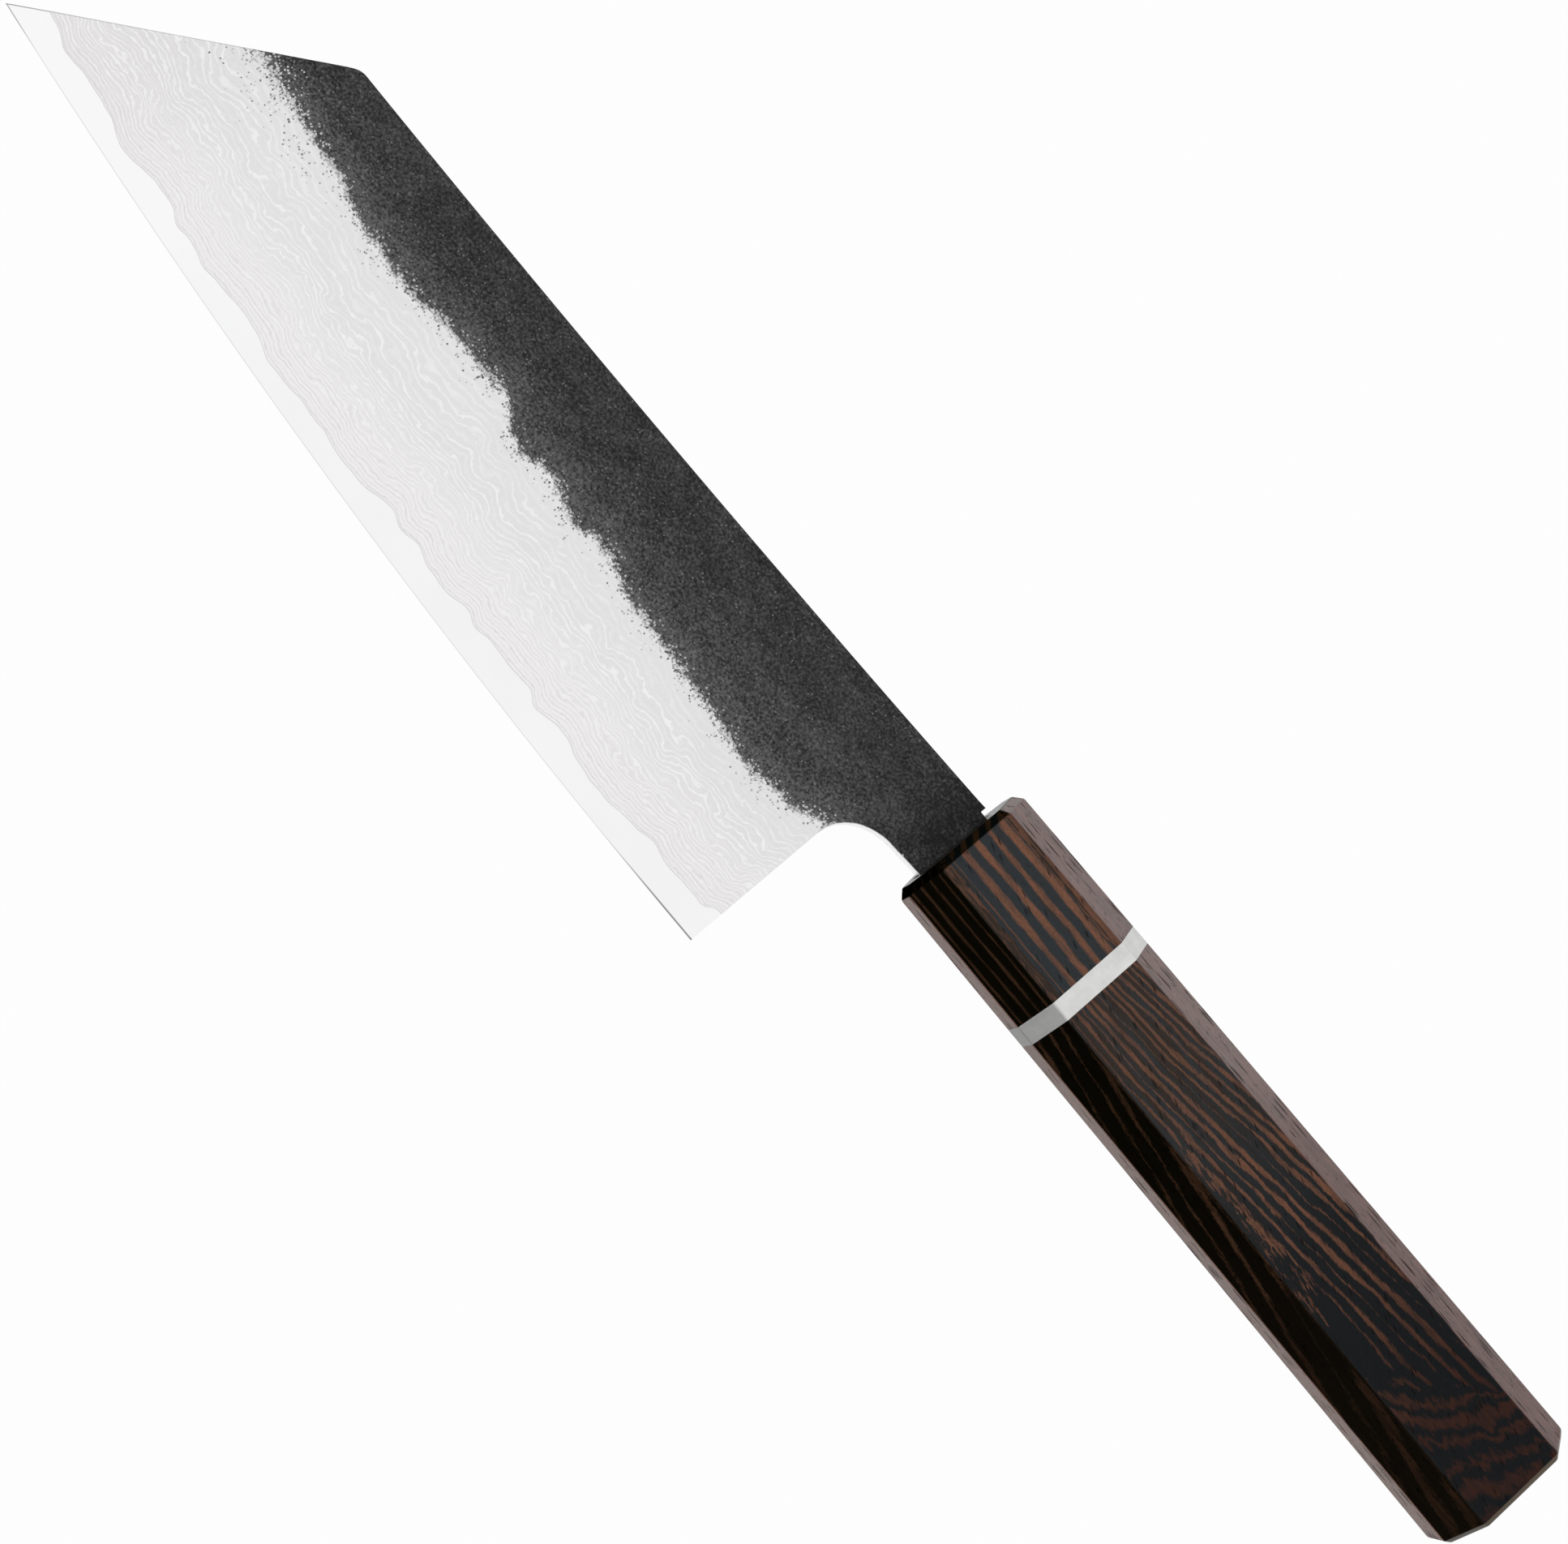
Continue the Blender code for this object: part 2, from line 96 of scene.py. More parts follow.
# Layers and grind
CORE_HALF = 0.28 * MM
CLADDING_INNER = 0.30 * MM
CLADDING_LIP = 0.03 * MM
NECK_THICKNESS = 2.6 * MM
SHOULDER_THICKNESS = 1.5 * MM
TIP_THICKNESS = 0.9 * MM
GRIND_HEIGHT_HEEL = 25.4 * MM
GRIND_CLIMB = 12.6 * MM
EDGE_LAND = 0.03 * MM
MICRO_BEVEL_HEIGHT = 0.5 * MM
MICRO_BEVEL_THICKNESS = 0.24 * MM
CORE_SHOWN = 4.3 * MM

# Distance between points along the cutting edge and the lamination line
EDGE_SPACING = 0.8 * MM

# A distance in millimetres that counts as far from the tip or the edge
FAR = 20.0

# Handle
HANDLE_LENGTH = 130.1 * MM
HANDLE_HEIGHT = (24.4 * MM, 26.2 * MM)
HANDLE_WIDTH = (20.8 * MM, 22.3 * MM)
FACET_HEIGHT = (5.2 * MM, 5.05 * MM)
FACET_WIDTH = (7.15 * MM, 7.5 * MM)
FRONT_BEVEL = (1.5 * MM, 1.3 * MM)
BUTT_BEVEL = (1.1 * MM, 0.9 * MM)
END_RIM = 0.6 * MM
RING_X = 26.4 * MM
BODY_X = 29.9 * MM
JOINT = 0.01 * MM
BORE_RADIUS = 7.4 * MM
BORE_START = 5.9 * MM
BORE_END = 50.5 * MM
MOUTH_WALL = 0.75 * MM
SLOT_WALL = 0.55 * MM
SLOT_END = 90.1 * MM

# Colours in the wood that no setting changes. The last five are painted shade and painted light for the way
# the sides face the lamp: a darker black and a shade for the lower chamfer, lighter browns for the bottom flat
# and the end bevel, and a shade for the front bevel
WOOD_PORE = (0.004, 0.003, 0.003)
WOOD_CRACK = (0.02, 0.014, 0.012)
SHADED_BLACK_BELOW = (0.0099, 0.0069, 0.003)
PAINTED_LIGHT_BOTTOM = (0.38, 0.12, 0.05)
PAINTED_LIGHT_END_BEVEL = (0.10, 0.068, 0.038)
SHADE_BELOW = (0.74, 0.86, 0.86)
SHADE_FRONT = (0.16, 0.2, 0.15)

# Waves of the line where the core comes out, as in the part's source: the way ahead of the heel in per cent
# of the blade's length, and the height there as a share of CORE_SHOWN
LAYER_LINE = (
    (0.7, 1.44), (1.7, 1.14), (3.3, 1.14), (6.5, 1.09), (8.5, 1.24), (10.5, 1.07), (15, 0.86), (18, 0.95),
    (20, 1.13), (21.5, 1.16), (24, 0.92), (25.5, 1.21), (28, 1.13), (30.5, 1.19), (32.5, 1.0), (34, 1.21),
    (37, 0.95), (39, 1.0), (41, 1.17), (43.3, 1.04), (45, 1.24), (48.5, 0.86), (51.5, 0.81), (54, 0.86),
    (55.5, 0.81), (57, 0.86), (60, 0.73), (61.5, 0.67), (64, 0.95), (66, 1.03), (69.5, 0.84), (71.5, 0.74),
    (74, 0.86), (75.5, 0.79), (77.5, 1.05), (79.5, 1.02), (84, 0.67), (87, 0.98), (90.5, 1.05), (93.5, 0.88),
    (96, 1.15), (99.5, 1.3),
)

# Lower limit of the forge scale on the left face, in millimetres
SCALE_LINE = (
    (-173, -2), (-168, -4), (-158, -5.5), (-151, -7), (-143, -7.5), (-137, -9.5), (-130, -10), (-121, -10.5),
    (-117, -9.5), (-100, -9.5), (-96, -12.5), (-92, -14), (-88, -12.5), (-83, -13), (-77.5, -15), (-75, -13),
    (-69, -14), (-65, -15.5), (-54, -16), (-41, -17), (-31, -18), (-23, -17), (-18, -14.6), (-15, -13.4),
    (-14, -22),
)

TIP_X = HEEL_X - BLADE_LENGTH
TIP_Y = TIP_RISE - EDGE_DEPTH
EDGE_FLAT_X = HEEL_X - EDGE_FLAT
SHOULDER_X = TIP_X + (SPINE_FRONT_HEIGHT - TIP_Y) / math.tan(TIP_ANGLE)
TANG_TOP = SPINE_REAR_HEIGHT - NOTCH_STEP

body_low, body_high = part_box("handle_body")
ferrule_low, ferrule_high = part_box("ferrule")
KNIFE_ORIGIN = Vector((
    ferrule_low.x + FRONT_BEVEL[0],
    (body_low.y + body_high.y) / 2,
    (body_low.z + body_high.z) / 2,
))


# Shape of the blade

def lerp(a, b, t):
    """Value on the way from a to b, at the share t of the way."""
    return a + (b - a) * t


def edge_y(x):
    """Cutting edge: flat by the heel, then rising to the tip along a parabola."""
    run = max(0.0, EDGE_FLAT_X - x) / (EDGE_FLAT_X - TIP_X)
    return TIP_RISE * run * run - EDGE_DEPTH


def spine_y(x):
    """Spine: a straight line with a shallow hollow between the clipped shoulder and the notch."""
    t = (x - SHOULDER_X) / (-NOTCH_SETBACK - SHOULDER_X)
    hollow = SPINE_HOLLOW * 4 * t * (1 - t) if 0 < t < 1 else 0.0
    return lerp(SPINE_FRONT_HEIGHT, SPINE_REAR_HEIGHT, t) - hollow


def clip_y(x):
    """Clipped tip line, which falls from the spine to the tip."""
    return TIP_Y + (x - TIP_X) * math.tan(TIP_ANGLE)


def grind_y(x):
    """Shoulder of the ground bevel, which climbs towards the tip."""
    run = max(0.0, EDGE_FLAT_X - x) / (EDGE_FLAT_X - SHOULDER_X)
    return GRIND_HEIGHT_HEEL - EDGE_DEPTH + GRIND_CLIMB * run * run


def layer_line(x):
    """Line where the core comes out from under the claddings, smooth through the waves of LAYER_LINE."""
    ahead = 100 * (HEEL_X - x) / BLADE_LENGTH
    share = LAYER_LINE[0][1] if ahead < LAYER_LINE[0][0] else LAYER_LINE[-1][1]
    for (start, low), (end, high) in zip(LAYER_LINE, LAYER_LINE[1:]):
        if start <= ahead < end:
            t = (ahead - start) / (end - start)
            share = lerp(low, high, t * t * (3 - 2 * t))
    return edge_y(x) + CORE_SHOWN * share


def layer_y(x, side):
    """The same line with the small ripple that the source's solids leave out."""
    return layer_line(x) + 0.25 * MM * noise.noise(Vector((x / (2.5 * MM), 7.3 * side, 0)))


def scale_y(x, side):
    """Lower limit of the forge scale. The right face has lobes of its own."""
    if side < 0:
        large = noise.noise(Vector((x / (9 * MM), 3.1, 0)))
        small = noise.noise(Vector((x / (4 * MM), 8.4, 0)))
        return grind_y(x) + (2.2 * large + 1.1 * small - 1.5) * MM if x < HEEL_X else -EDGE_DEPTH
    xs, ys = zip(*SCALE_LINE)
    return float(np.interp(x / MM, xs, ys)) * MM


def half_thickness(x):
    """Half of the blade's thickness above the bevel: it tapers from the neck to the tip and down the tang."""
    if x > 0:
        return lerp(NECK_THICKNESS, TANG_END_THICKNESS, x / TANG_LENGTH) / 2
    if x > SHOULDER_X:
        return lerp(NECK_THICKNESS, SHOULDER_THICKNESS, x / SHOULDER_X) / 2
    return lerp(SHOULDER_THICKNESS, TIP_THICKNESS, (SHOULDER_X - x) / (SHOULDER_X - TIP_X)) / 2


def cladding_height(x, y, side):
    """Height of a cladding's outer face over the blade's middle plane."""
    low, high = layer_y(x, side), grind_y(x)
    if y >= high or x > 0:
        return half_thickness(x)
    return lerp(CLADDING_INNER + CLADDING_LIP, half_thickness(x), max(0.0, (y - low) / (high - low)))


def core_height(x, y):
    """Half thickness of the core: even under the claddings, then ground to the edge with a second bevel."""
    low = edge_y(x)
    fine = low + MICRO_BEVEL_HEIGHT
    if x > HEEL_X:
        return CORE_HALF
    if y <= fine:
        return lerp(EDGE_LAND, MICRO_BEVEL_THICKNESS, max(0.0, (y - low) / MICRO_BEVEL_HEIGHT)) / 2
    share = (y - fine) / (layer_line(x) - fine)
    return lerp(MICRO_BEVEL_THICKNESS / 2, CORE_HALF, min(1.0, share))


def tang_edges(x):
    """Upper and lower edge of the tang."""
    height = lerp(TANG_HEIGHT, TANG_END_HEIGHT, (x - TANG_SHOULDER) / (TANG_LENGTH - TANG_SHOULDER))
    return TANG_OFFSET + height / 2, TANG_OFFSET - height / 2


def shoulder_points():
    """Rounded corner between the clipped tip line and the spine."""
    centre_x = SHOULDER_X + SHOULDER_RADIUS * math.tan(TIP_ANGLE / 2)
    centre = Vector((centre_x, spine_y(centre_x) - SHOULDER_RADIUS))
    turns = [math.pi / 2 + TIP_ANGLE * (1 - i / 10) for i in range(11)]
    return [tuple(centre + SHOULDER_RADIUS * Vector((math.cos(turn), math.sin(turn)))) for turn in turns]


def choil_points():
    """Finger curve from the underside of the neck to the heel's rear edge."""
    low = Vector((HEEL_X, CHOIL_Y, 0))
    high = Vector((HEEL_X + CHOIL_LENGTH, -NECK_UNDERSIDE - NECK_FALL, 0))
    rise = high.y - low.y
    pull_up = low + Vector((0, 0.55 * rise, 0))
    pull_back = high - Vector((0.55 * CHOIL_LENGTH, 0.05 * rise, 0))
    return [(p.x, p.y) for p in reversed(geometry.interpolate_bezier(low, pull_up, pull_back, high, 25))]


def stretch(start, end, ease, spacing=1.0 * MM):
    """Points of a straight stretch of the outline, without its end, each with its easing."""
    count = max(1, round(math.dist(start, end) / spacing))
    shares = [i / count for i in range(count)]
    return [(lerp(start[0], end[0], share), lerp(start[1], end[1], share), ease) for share in shares]


def even_xs(start, end, spacing):
    """Places along x from start towards end, without the end, about as far apart as spacing says."""
    count = round(abs(end - start) / spacing)
    return [lerp(start, end, i / count) for i in range(count)]


def tang_corners():
    """Corners of the tang from the notch round its rear end to the underside of the neck."""
    top, bottom = tang_edges(TANG_SHOULDER)
    end_top, end_bottom = tang_edges(TANG_LENGTH)
    nose = (end_top - end_bottom) / 4
    return [
        (0, TANG_TOP), (TANG_SHOULDER, top), (TANG_LENGTH - nose, end_top), (TANG_LENGTH, end_top - nose),
        (TANG_LENGTH, end_bottom + nose), (TANG_LENGTH - nose, end_bottom), (TANG_SHOULDER, bottom),
        (0, -NECK_UNDERSIDE),
    ]


def tip_point(low_line):
    """Where the clipped tip line meets the lower limit."""
    low, high = TIP_X - 1 * MM, SHOULDER_X
    for _ in range(40):
        x = (low + high) / 2
        if clip_y(x) > low_line(x):
            high = x
        else:
            low = x
    return high, low_line(high)


def blade_outline(low_line, eases):
    """Side view of the whole forging, from the tip over the spine, the tang, the neck and the choil.

    low_line is the lower limit: the cutting edge for the core, the lamination line for a cladding.
    Each point holds how far the rim is eased there.
    """
    shoulder, tip, choil = shoulder_points(), tip_point(low_line), choil_points()
    notch_x = -NOTCH_SETBACK
    outline = stretch(tip, shoulder[0], eases["tip"])
    outline += [(x, y, eases["spine"]) for x, y in shoulder[:-1]]
    outline += [(x, spine_y(x), eases["spine"]) for x in even_xs(shoulder[-1][0], notch_x, 1.5 * MM)]
    outline += stretch((notch_x, spine_y(notch_x)), (notch_x, TANG_TOP), eases["notch"], 0.4 * MM)
    outline += stretch((notch_x, TANG_TOP), (0, TANG_TOP), eases["notch"])
    corners = tang_corners()
    for first, second in zip(corners, corners[1:]):
        outline += stretch(first, second, 0.0, 8 * MM)
    outline += stretch(corners[-1], choil[0], eases["choil"])
    outline += [(x, y, eases["choil"]) for x, y in choil[:-1]]
    outline += stretch((HEEL_X, CHOIL_Y), (HEEL_X, low_line(HEEL_X)), eases["heel"])
    return outline + [(x, low_line(x), 0.0) for x in even_xs(HEEL_X, tip[0], EDGE_SPACING)]


def below_tip(x, y):
    """Distance from the clipped tip line in millimetres. Behind the tip it is large."""
    return (clip_y(x) - y) * math.cos(TIP_ANGLE) / MM if x < SHOULDER_X else FAR


# Meshes

def rim_distances(points, outline):
    """Distance from each point to the outline, and the easing of the outline there."""
    line = np.array(outline)
    a, b = line[:, :2], np.roll(line[:, :2], -1, axis=0)
    ease_a, ease_b = line[:, 2], np.roll(line[:, 2], -1)
    run = b - a
    length = (run ** 2).sum(1)
    distances, eases = [], []
    for chunk in np.array_split(np.array(points), max(1, len(points) // 500)):
        t = np.clip(((chunk[:, None] - a) * run).sum(2) / length, 0, 1)
        gap = np.hypot(*np.moveaxis(chunk[:, None] - a - t[..., None] * run, 2, 0))
        nearest = gap.argmin(1)
        rows = np.arange(len(chunk))
        distances.append(gap[rows, nearest])
        eases.append(lerp(ease_a[nearest], ease_b[nearest], t[rows, nearest]))
    return np.concatenate(distances), np.concatenate(eases)


def inside_outline(point, outline):
    """Whether a point is inside a closed outline."""
    crossings = 0
    for (ax, ay, _), (bx, by, _) in zip(outline, outline[1:] + outline[:1]):
        if (ay > point.y) != (by > point.y) and point.x < ax + (point.y - ay) / (by - ay) * (bx - ax):
            crossings += 1
    return crossings % 2 == 1


def inward_rings(outline):
    """Rows of points just inside the eased stretches of the outline, so that their roundness has points."""
    points = [Vector(p[:2]) for p in outline]
    rings = []
    for i, (_, _, ease) in enumerate(outline):
        along = points[(i + 1) % len(points)] - points[i - 1]
        inward = Vector((along.y, -along.x)).normalized()
        if ease > 0:
            rings += [points[i] + inward * ease * share for share in (0.12, 0.35, 0.65, 1.0)]
    return rings


def grid_points(low_line, spacing, keep):
    """Points in offset rows over the blade, where keep says so."""
    found = []
    row_gap = 0.87 * spacing
    for row in range(int((SPINE_REAR_HEIGHT + EDGE_DEPTH) / row_gap) + 2):
        y = SPINE_REAR_HEIGHT - row * row_gap
        x = TIP_X + (row % 2) * spacing / 2
        while x < 0:
            if y > low_line(x) and keep(x, y):
                found.append(Vector((x, y)))
            x += spacing
    return found


def flat_triangles(outline, inner):
    """Triangles over the outline's inside, through the inner points."""
    border = [Vector(p[:2]) for p in outline]
    clear, _ = rim_distances([tuple(p) for p in inner], outline) if inner else ([], None)
    points = border + [p for p, gap in zip(inner, clear) if gap > 0.03 * MM]
    edges = [(i, (i + 1) % len(border)) for i in range(len(border))]
    found = geometry.delaunay_2d_cdt(points, edges, [list(range(len(border)))], 1, 1e-7)
    return [tuple(p) for p in found[0]], found[2]


def plain_mesh(name, bm):
    """Mesh of what was built, which frees the builder."""
    mesh = bpy.data.meshes.new(name)
    bm.to_mesh(mesh)
    bm.free()
    return mesh


def smooth_mesh(name, bm, sharp_from):
    """The same, facing outward and shaded smooth but for edges with at least this angle in degrees."""
    bmesh.ops.recalc_face_normals(bm, faces=bm.faces)
    if bm.calc_volume(signed=True) < 0:
        bmesh.ops.reverse_faces(bm, faces=bm.faces)
    for face in bm.faces:
        face.smooth = True
    for edge in bm.edges:
        edge.smooth = edge.calc_face_angle(0.0) < math.radians(sharp_from)
    return plain_mesh(name, bm)


def add_top(bm, outline, inner, height_at, sign):
    """Upper face of a plate, which drops to its eased rim. Returns its points and its triangles."""
    rim = bm.verts.layers.float.new("rim")
    flat, faces = flat_triangles(outline, inner)
    upper = []
    for (x, y), gap, ease in zip(flat, *rim_distances(flat, outline)):
        depth = max(0.0, 1 - gap / ease) if ease > 0 else 0.0
        drop = ease * (1 - math.sqrt(1 - depth * depth))
        upper.append(bm.verts.new((x, y, sign * (height_at(x, y) - drop))))
        upper[-1][rim] = depth
    for face in faces:
        bm.faces.new([upper[i] for i in face])
    return upper, faces


def add_flat_bottom(bm, outline, rim_points, z):
    """Flat lower face at z. Returns the lower point under each point of the rim."""
    def key(point):
        return tuple(round(c / (0.01 * MM)) for c in point)

    lower = {vert: bm.verts.new((*vert.co.xy, z)) for vert in rim_points}
    place = {key(vert.co.xy): lower[vert] for vert in rim_points}
    flat, faces = flat_triangles(outline, [])
    for face in faces:
        bm.faces.new([place[key(flat[i])] for i in reversed(face)])
    return lower


def plate_mesh(name, outline, inner, height_at, bottom=None, sign=1):
    """Closed solid over a flat outline, as high over the middle plane as height_at says.

    Its lower side is flat at the height bottom, or else the same as the upper one. With sign -1 all of it is
    on the other side of the middle plane.
    """
    bm = bmesh.new()
    upper, faces = add_top(bm, outline, inner, height_at, sign)
    border = [edge for edge in bm.edges if edge.is_boundary]
    if bottom is None:
        lower = {vert: bm.verts.new((*vert.co.xy, -vert.co.z)) for vert in upper}
        for face in faces:
            bm.faces.new([lower[upper[i]] for i in reversed(face)])
    else:
        rim_points = list(dict.fromkeys(vert for edge in border for vert in edge.verts))
        lower = add_flat_bottom(bm, outline, rim_points, sign * bottom)
    rim = bm.verts.layers.float["rim"]
    for vert in lower.values():
        vert[rim] = 1.0
    for edge in border:
        a, b = edge.verts
        bm.faces.new((a, b, lower[b], lower[a]))
    return smooth_mesh(name, bm, sharp_from=32)


def set_attribute(mesh, name, value_at):
    """A number at each point of the mesh, from its place in the drawing."""
    layer = mesh.attributes.new(name, "FLOAT", "POINT")
    for vert in mesh.vertices:
        layer.data[vert.index].value = value_at(vert.co.x, vert.co.y)


def rounded(points, radius, closed, steps=4):
    """The line with each corner turned into a small curve. An open line keeps its two ends."""
    flat = [Vector(p) for p in points]
    result = []
    for i, corner in enumerate(flat):
        if not closed and i in (0, len(flat) - 1):
            result.append(corner)
            continue
        before = flat[i - 1] - corner
        after = flat[(i + 1) % len(flat)] - corner
        start = corner + before.normalized() * min(radius, before.length * 0.45)
        end = corner + after.normalized() * min(radius, after.length * 0.45)
        for part in range(steps + 1):
            t = part / steps
            result.append(start.lerp(corner, t).lerp(corner.lerp(end, t), t))
    return result


def octagon(x, inset):
    """Corners (y, z) of the handle's eight-sided section at x, with every face moved in by inset."""
    t = x / HANDLE_LENGTH
    height, width = lerp(*HANDLE_HEIGHT, t) / 2, lerp(*HANDLE_WIDTH, t) / 2
    facet_h, facet_w = lerp(*FACET_HEIGHT, t), lerp(*FACET_WIDTH, t)
    reach = facet_w * (height - facet_h) + facet_h * width - inset * math.hypot(facet_h, facet_w)
    top, side = height - inset, width - inset
    quarter = [((reach - facet_h * side) / facet_w, side), (top, (reach - facet_w * top) / facet_h)]
    half = quarter + [(y, -z) for y, z in reversed(quarter)]
    return half + [(-y, z) for y, z in reversed(half)]


def handle_mesh(name, profile, ease):
    """Loft of rounded octagons along a profile of x and inset."""
    bm = bmesh.new()
    rings = []
    for x, inset in rounded(profile, ease, closed=False):
        section = rounded(octagon(x, inset), ease, closed=True)
        rings.append([bm.verts.new((x, y, z)) for y, z in section])
    for first, second in zip(rings, rings[1:]):
        for i in range(len(first)):
            j = (i + 1) % len(first)
            bm.faces.new((first[i], first[j], second[j], second[i]))
    bm.faces.new(list(reversed(rings[0])))
    bm.faces.new(rings[-1])
    return smooth_mesh(name, bm, sharp_from=40)


def add_object(name, mesh):
    """Put a mesh into the knife's frame."""
    obj = bpy.data.objects.new(name, mesh)
    bpy.context.scene.collection.objects.link(obj)
    obj.location = KNIFE_ORIGIN
    return obj


def weigh_normals(obj):
    """Let the large faces keep flat light next to the eased edges."""
    weigh = obj.modifiers.new("flat light", "WEIGHTED_NORMAL")
    weigh.keep_sharp = True
    weigh.weight = 80


def cut(obj, cutters):
    """Take the cutters out of the object, apply that and remove them."""
    for cutter in cutters:
        take = obj.modifiers.new(cutter.name, "BOOLEAN")
        take.object = cutter
    bpy.context.view_layer.update()
    depsgraph = bpy.context.evaluated_depsgraph_get()
    mesh = bpy.data.meshes.new_from_object(obj.evaluated_get(depsgraph))
    obj.modifiers.clear()
    obj.data = mesh
    for cutter in cutters:
        bpy.data.objects.remove(cutter, do_unlink=True)


def box_cutter(x_range, y_range, half_z):
    """Box between two limits each in x and y, and as thick on either side of the middle plane."""
    bm = bmesh.new()
    bmesh.ops.create_cube(bm, size=1)
    centre = Vector((sum(x_range) / 2, sum(y_range) / 2, 0))
    size = Vector((x_range[1] - x_range[0], y_range[1] - y_range[0], 2 * half_z))
    bm.transform(Matrix.Translation(centre) @ Matrix.Diagonal((*size, 1)))
    return add_object("box_cutter", plain_mesh("box_cutter", bm))


def bore_cutter():
    """Cylinder of the bore that the dowel sits in."""
    bm = bmesh.new()
    turn = Matrix.Rotation(math.pi / 2, 4, "Y")
    place = Matrix.Translation(((BORE_START + BORE_END) / 2, 0, 0)) @ turn
    bmesh.ops.create_cone(
        bm, cap_ends=True, segments=48, radius1=BORE_RADIUS, radius2=BORE_RADIUS,
        depth=BORE_END - BORE_START, matrix=place,
    )
    return add_object("bore_cutter", plain_mesh("bore_cutter", bm))


def settle(obj, node):
    """Hang the piece on the root and hide the imported part that it stands for."""
    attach(obj, "root")
    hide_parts(node)


# Node trees

class Field:
    """A value that varies over the surface: a node's output, reckoned with like a plain number."""

    def __init__(self, socket):
        self.socket = socket
        self.tree = socket.id_data

    def __add__(self, other):
        return reckon("ADD", self, other)

    def __radd__(self, other):
        return reckon("ADD", other, self)

    def __sub__(self, other):
        return reckon("SUBTRACT", self, other)

    def __rsub__(self, other):
        return reckon("SUBTRACT", other, self)

    def __mul__(self, other):
        return reckon("MULTIPLY", self, other)

    def __rmul__(self, other):
        return reckon("MULTIPLY", other, self)

    def __truediv__(self, other):
        return reckon("DIVIDE", self, other)

    def __pow__(self, other):
        return reckon("POWER", self, other)

    def __gt__(self, other):
        return reckon("GREATER_THAN", self, other)

    def __neg__(self):
        return reckon("MULTIPLY", self, -1.0)

    def __abs__(self):
        return reckon("ABSOLUTE", self)

    def __floor__(self):
        return reckon("FLOOR", self)


def plug(socket, value):
    """Link a field to a node's input, or set the input to a plain value."""
    if isinstance(value, Field):
        value.tree.links.new(value.socket, socket)
    else:
        socket.default_value = value


def feed(node, **values):
    """Plug values into the inputs of these names, where an underscore stands for a space."""
    for name, value in values.items():
        plug(node.inputs[name.replace("_", " ")], value)


def add_node(tree, kind, inputs=None, **settings):
    """One node with its settings, and with a field or a plain value for each input named."""
    node = tree.nodes.new("ShaderNode" + kind)
    for key, value in settings.items():
        setattr(node, key, value)
    for socket, value in (inputs or {}).items():
        plug(node.inputs[socket], value)
    return node


def new_field(tree, kind, inputs=None, output=0, **settings):
    """One output of a new node."""
    return Field(add_node(tree, kind, inputs, **settings).outputs[output])


def outputs_of(node):
    """All outputs of a node by name."""
    return {socket.name: Field(socket) for socket in node.outputs}


def reckon(operation, *terms, clamp=False):
    """Maths with fields and plain numbers. clamp holds the result between 0 and 1."""
    tree = next(term.tree for term in terms if isinstance(term, Field))
    return new_field(tree, "Math", dict(enumerate(terms)), operation=operation, use_clamp=clamp)


def clamped(value):
    """The field held between 0 and 1."""
    return reckon("ADD", value, 0.0, clamp=True)


def larger(first, second):
    """The larger of two fields or numbers."""
    return reckon("MAXIMUM", first, second)


def fading(depth, reach):
    """1 up to depth 0, and then ever less: each reach further in it falls to 0.37 of what it was."""
    return reckon("EXPONENT", -larger(depth, 0.0) / reach)


def step(value, low, high, out_low=0.0, out_high=1.0):
    """Smooth step of a field between two limits."""
    inputs = {"Value": value, "From Min": low, "From Max": high, "To Min": out_low, "To Max": out_high}
    return new_field(value.tree, "MapRange", inputs, interpolation_type="SMOOTHSTEP")


def between(factor, first, second):
    """Number that the factor leads from the first to the second."""
    return new_field(factor.tree, "Mix", {0: factor, 2: first, 3: second})


def blend(factor, colour, other, how="MIX"):
    """The colour, led to the other one by the factor. Each is a field, a red-green-blue triple or a grey."""
    inputs = {0: factor, 6: with_alpha(colour), 7: with_alpha(other)}
    return new_field(factor.tree, "Mix", inputs, 2, data_type="RGBA", blend_type=how)


def with_alpha(colour):
    """The field itself, or else the four numbers that a node takes for a colour or a grey."""
    if isinstance(colour, Field):
        return colour
    return (colour, colour, colour, 1) if isinstance(colour, float) else (*colour, 1)


def joined(x, y, z):
    """Vector of three parts."""
    return new_field(x.tree, "CombineXYZ", {0: x, 1: y, 2: z})


def parts_of(vector):
    """The three parts of a vector."""
    return [Field(socket) for socket in add_node(vector.tree, "SeparateXYZ", {0: vector}).outputs]


def scaled(vector, factor):
    """The vector or colour times a number."""
    return new_field(vector.tree, "VectorMath", {0: vector, "Scale": factor}, operation="SCALE")


def random_of(number):
    """Random number from 0 to 1 for each whole number."""
    return new_field(number.tree, "TexWhiteNoise", {"W": number}, noise_dimensions="1D")


def spot_in(place, size, shift):
    """The place counted in grains of the given size, and shifted."""
    inputs = {0: place, 1: tuple(1 / s for s in size), 2: shift}
    return new_field(place.tree, "VectorMath", inputs, operation="MULTIPLY_ADD")


def grain(place, size, detail, offset=0.0, rough=0.5):
    """Noise whose grains have the given size along each axis, centred on zero and about 1 across."""
    spot = spot_in(place, size, (offset, offset * 1.7, offset * 0.6))
    inputs = {"Vector": spot, "Scale": 1.0, "Detail": detail, "Roughness": rough}
    return new_field(place.tree, "TexNoise", inputs) * 2.0 - 1.0


def dots(place, size, offset):
    """Distance to the nearest of scattered points, and a random number for that point."""
    inputs = {"Vector": spot_in(place, size, (offset, offset, offset)), "Scale": 1.0}
    cells = outputs_of(add_node(place.tree, "TexVoronoi", inputs))
    return cells["Distance"], new_field(place.tree, "SeparateColor", {0: cells["Color"]})


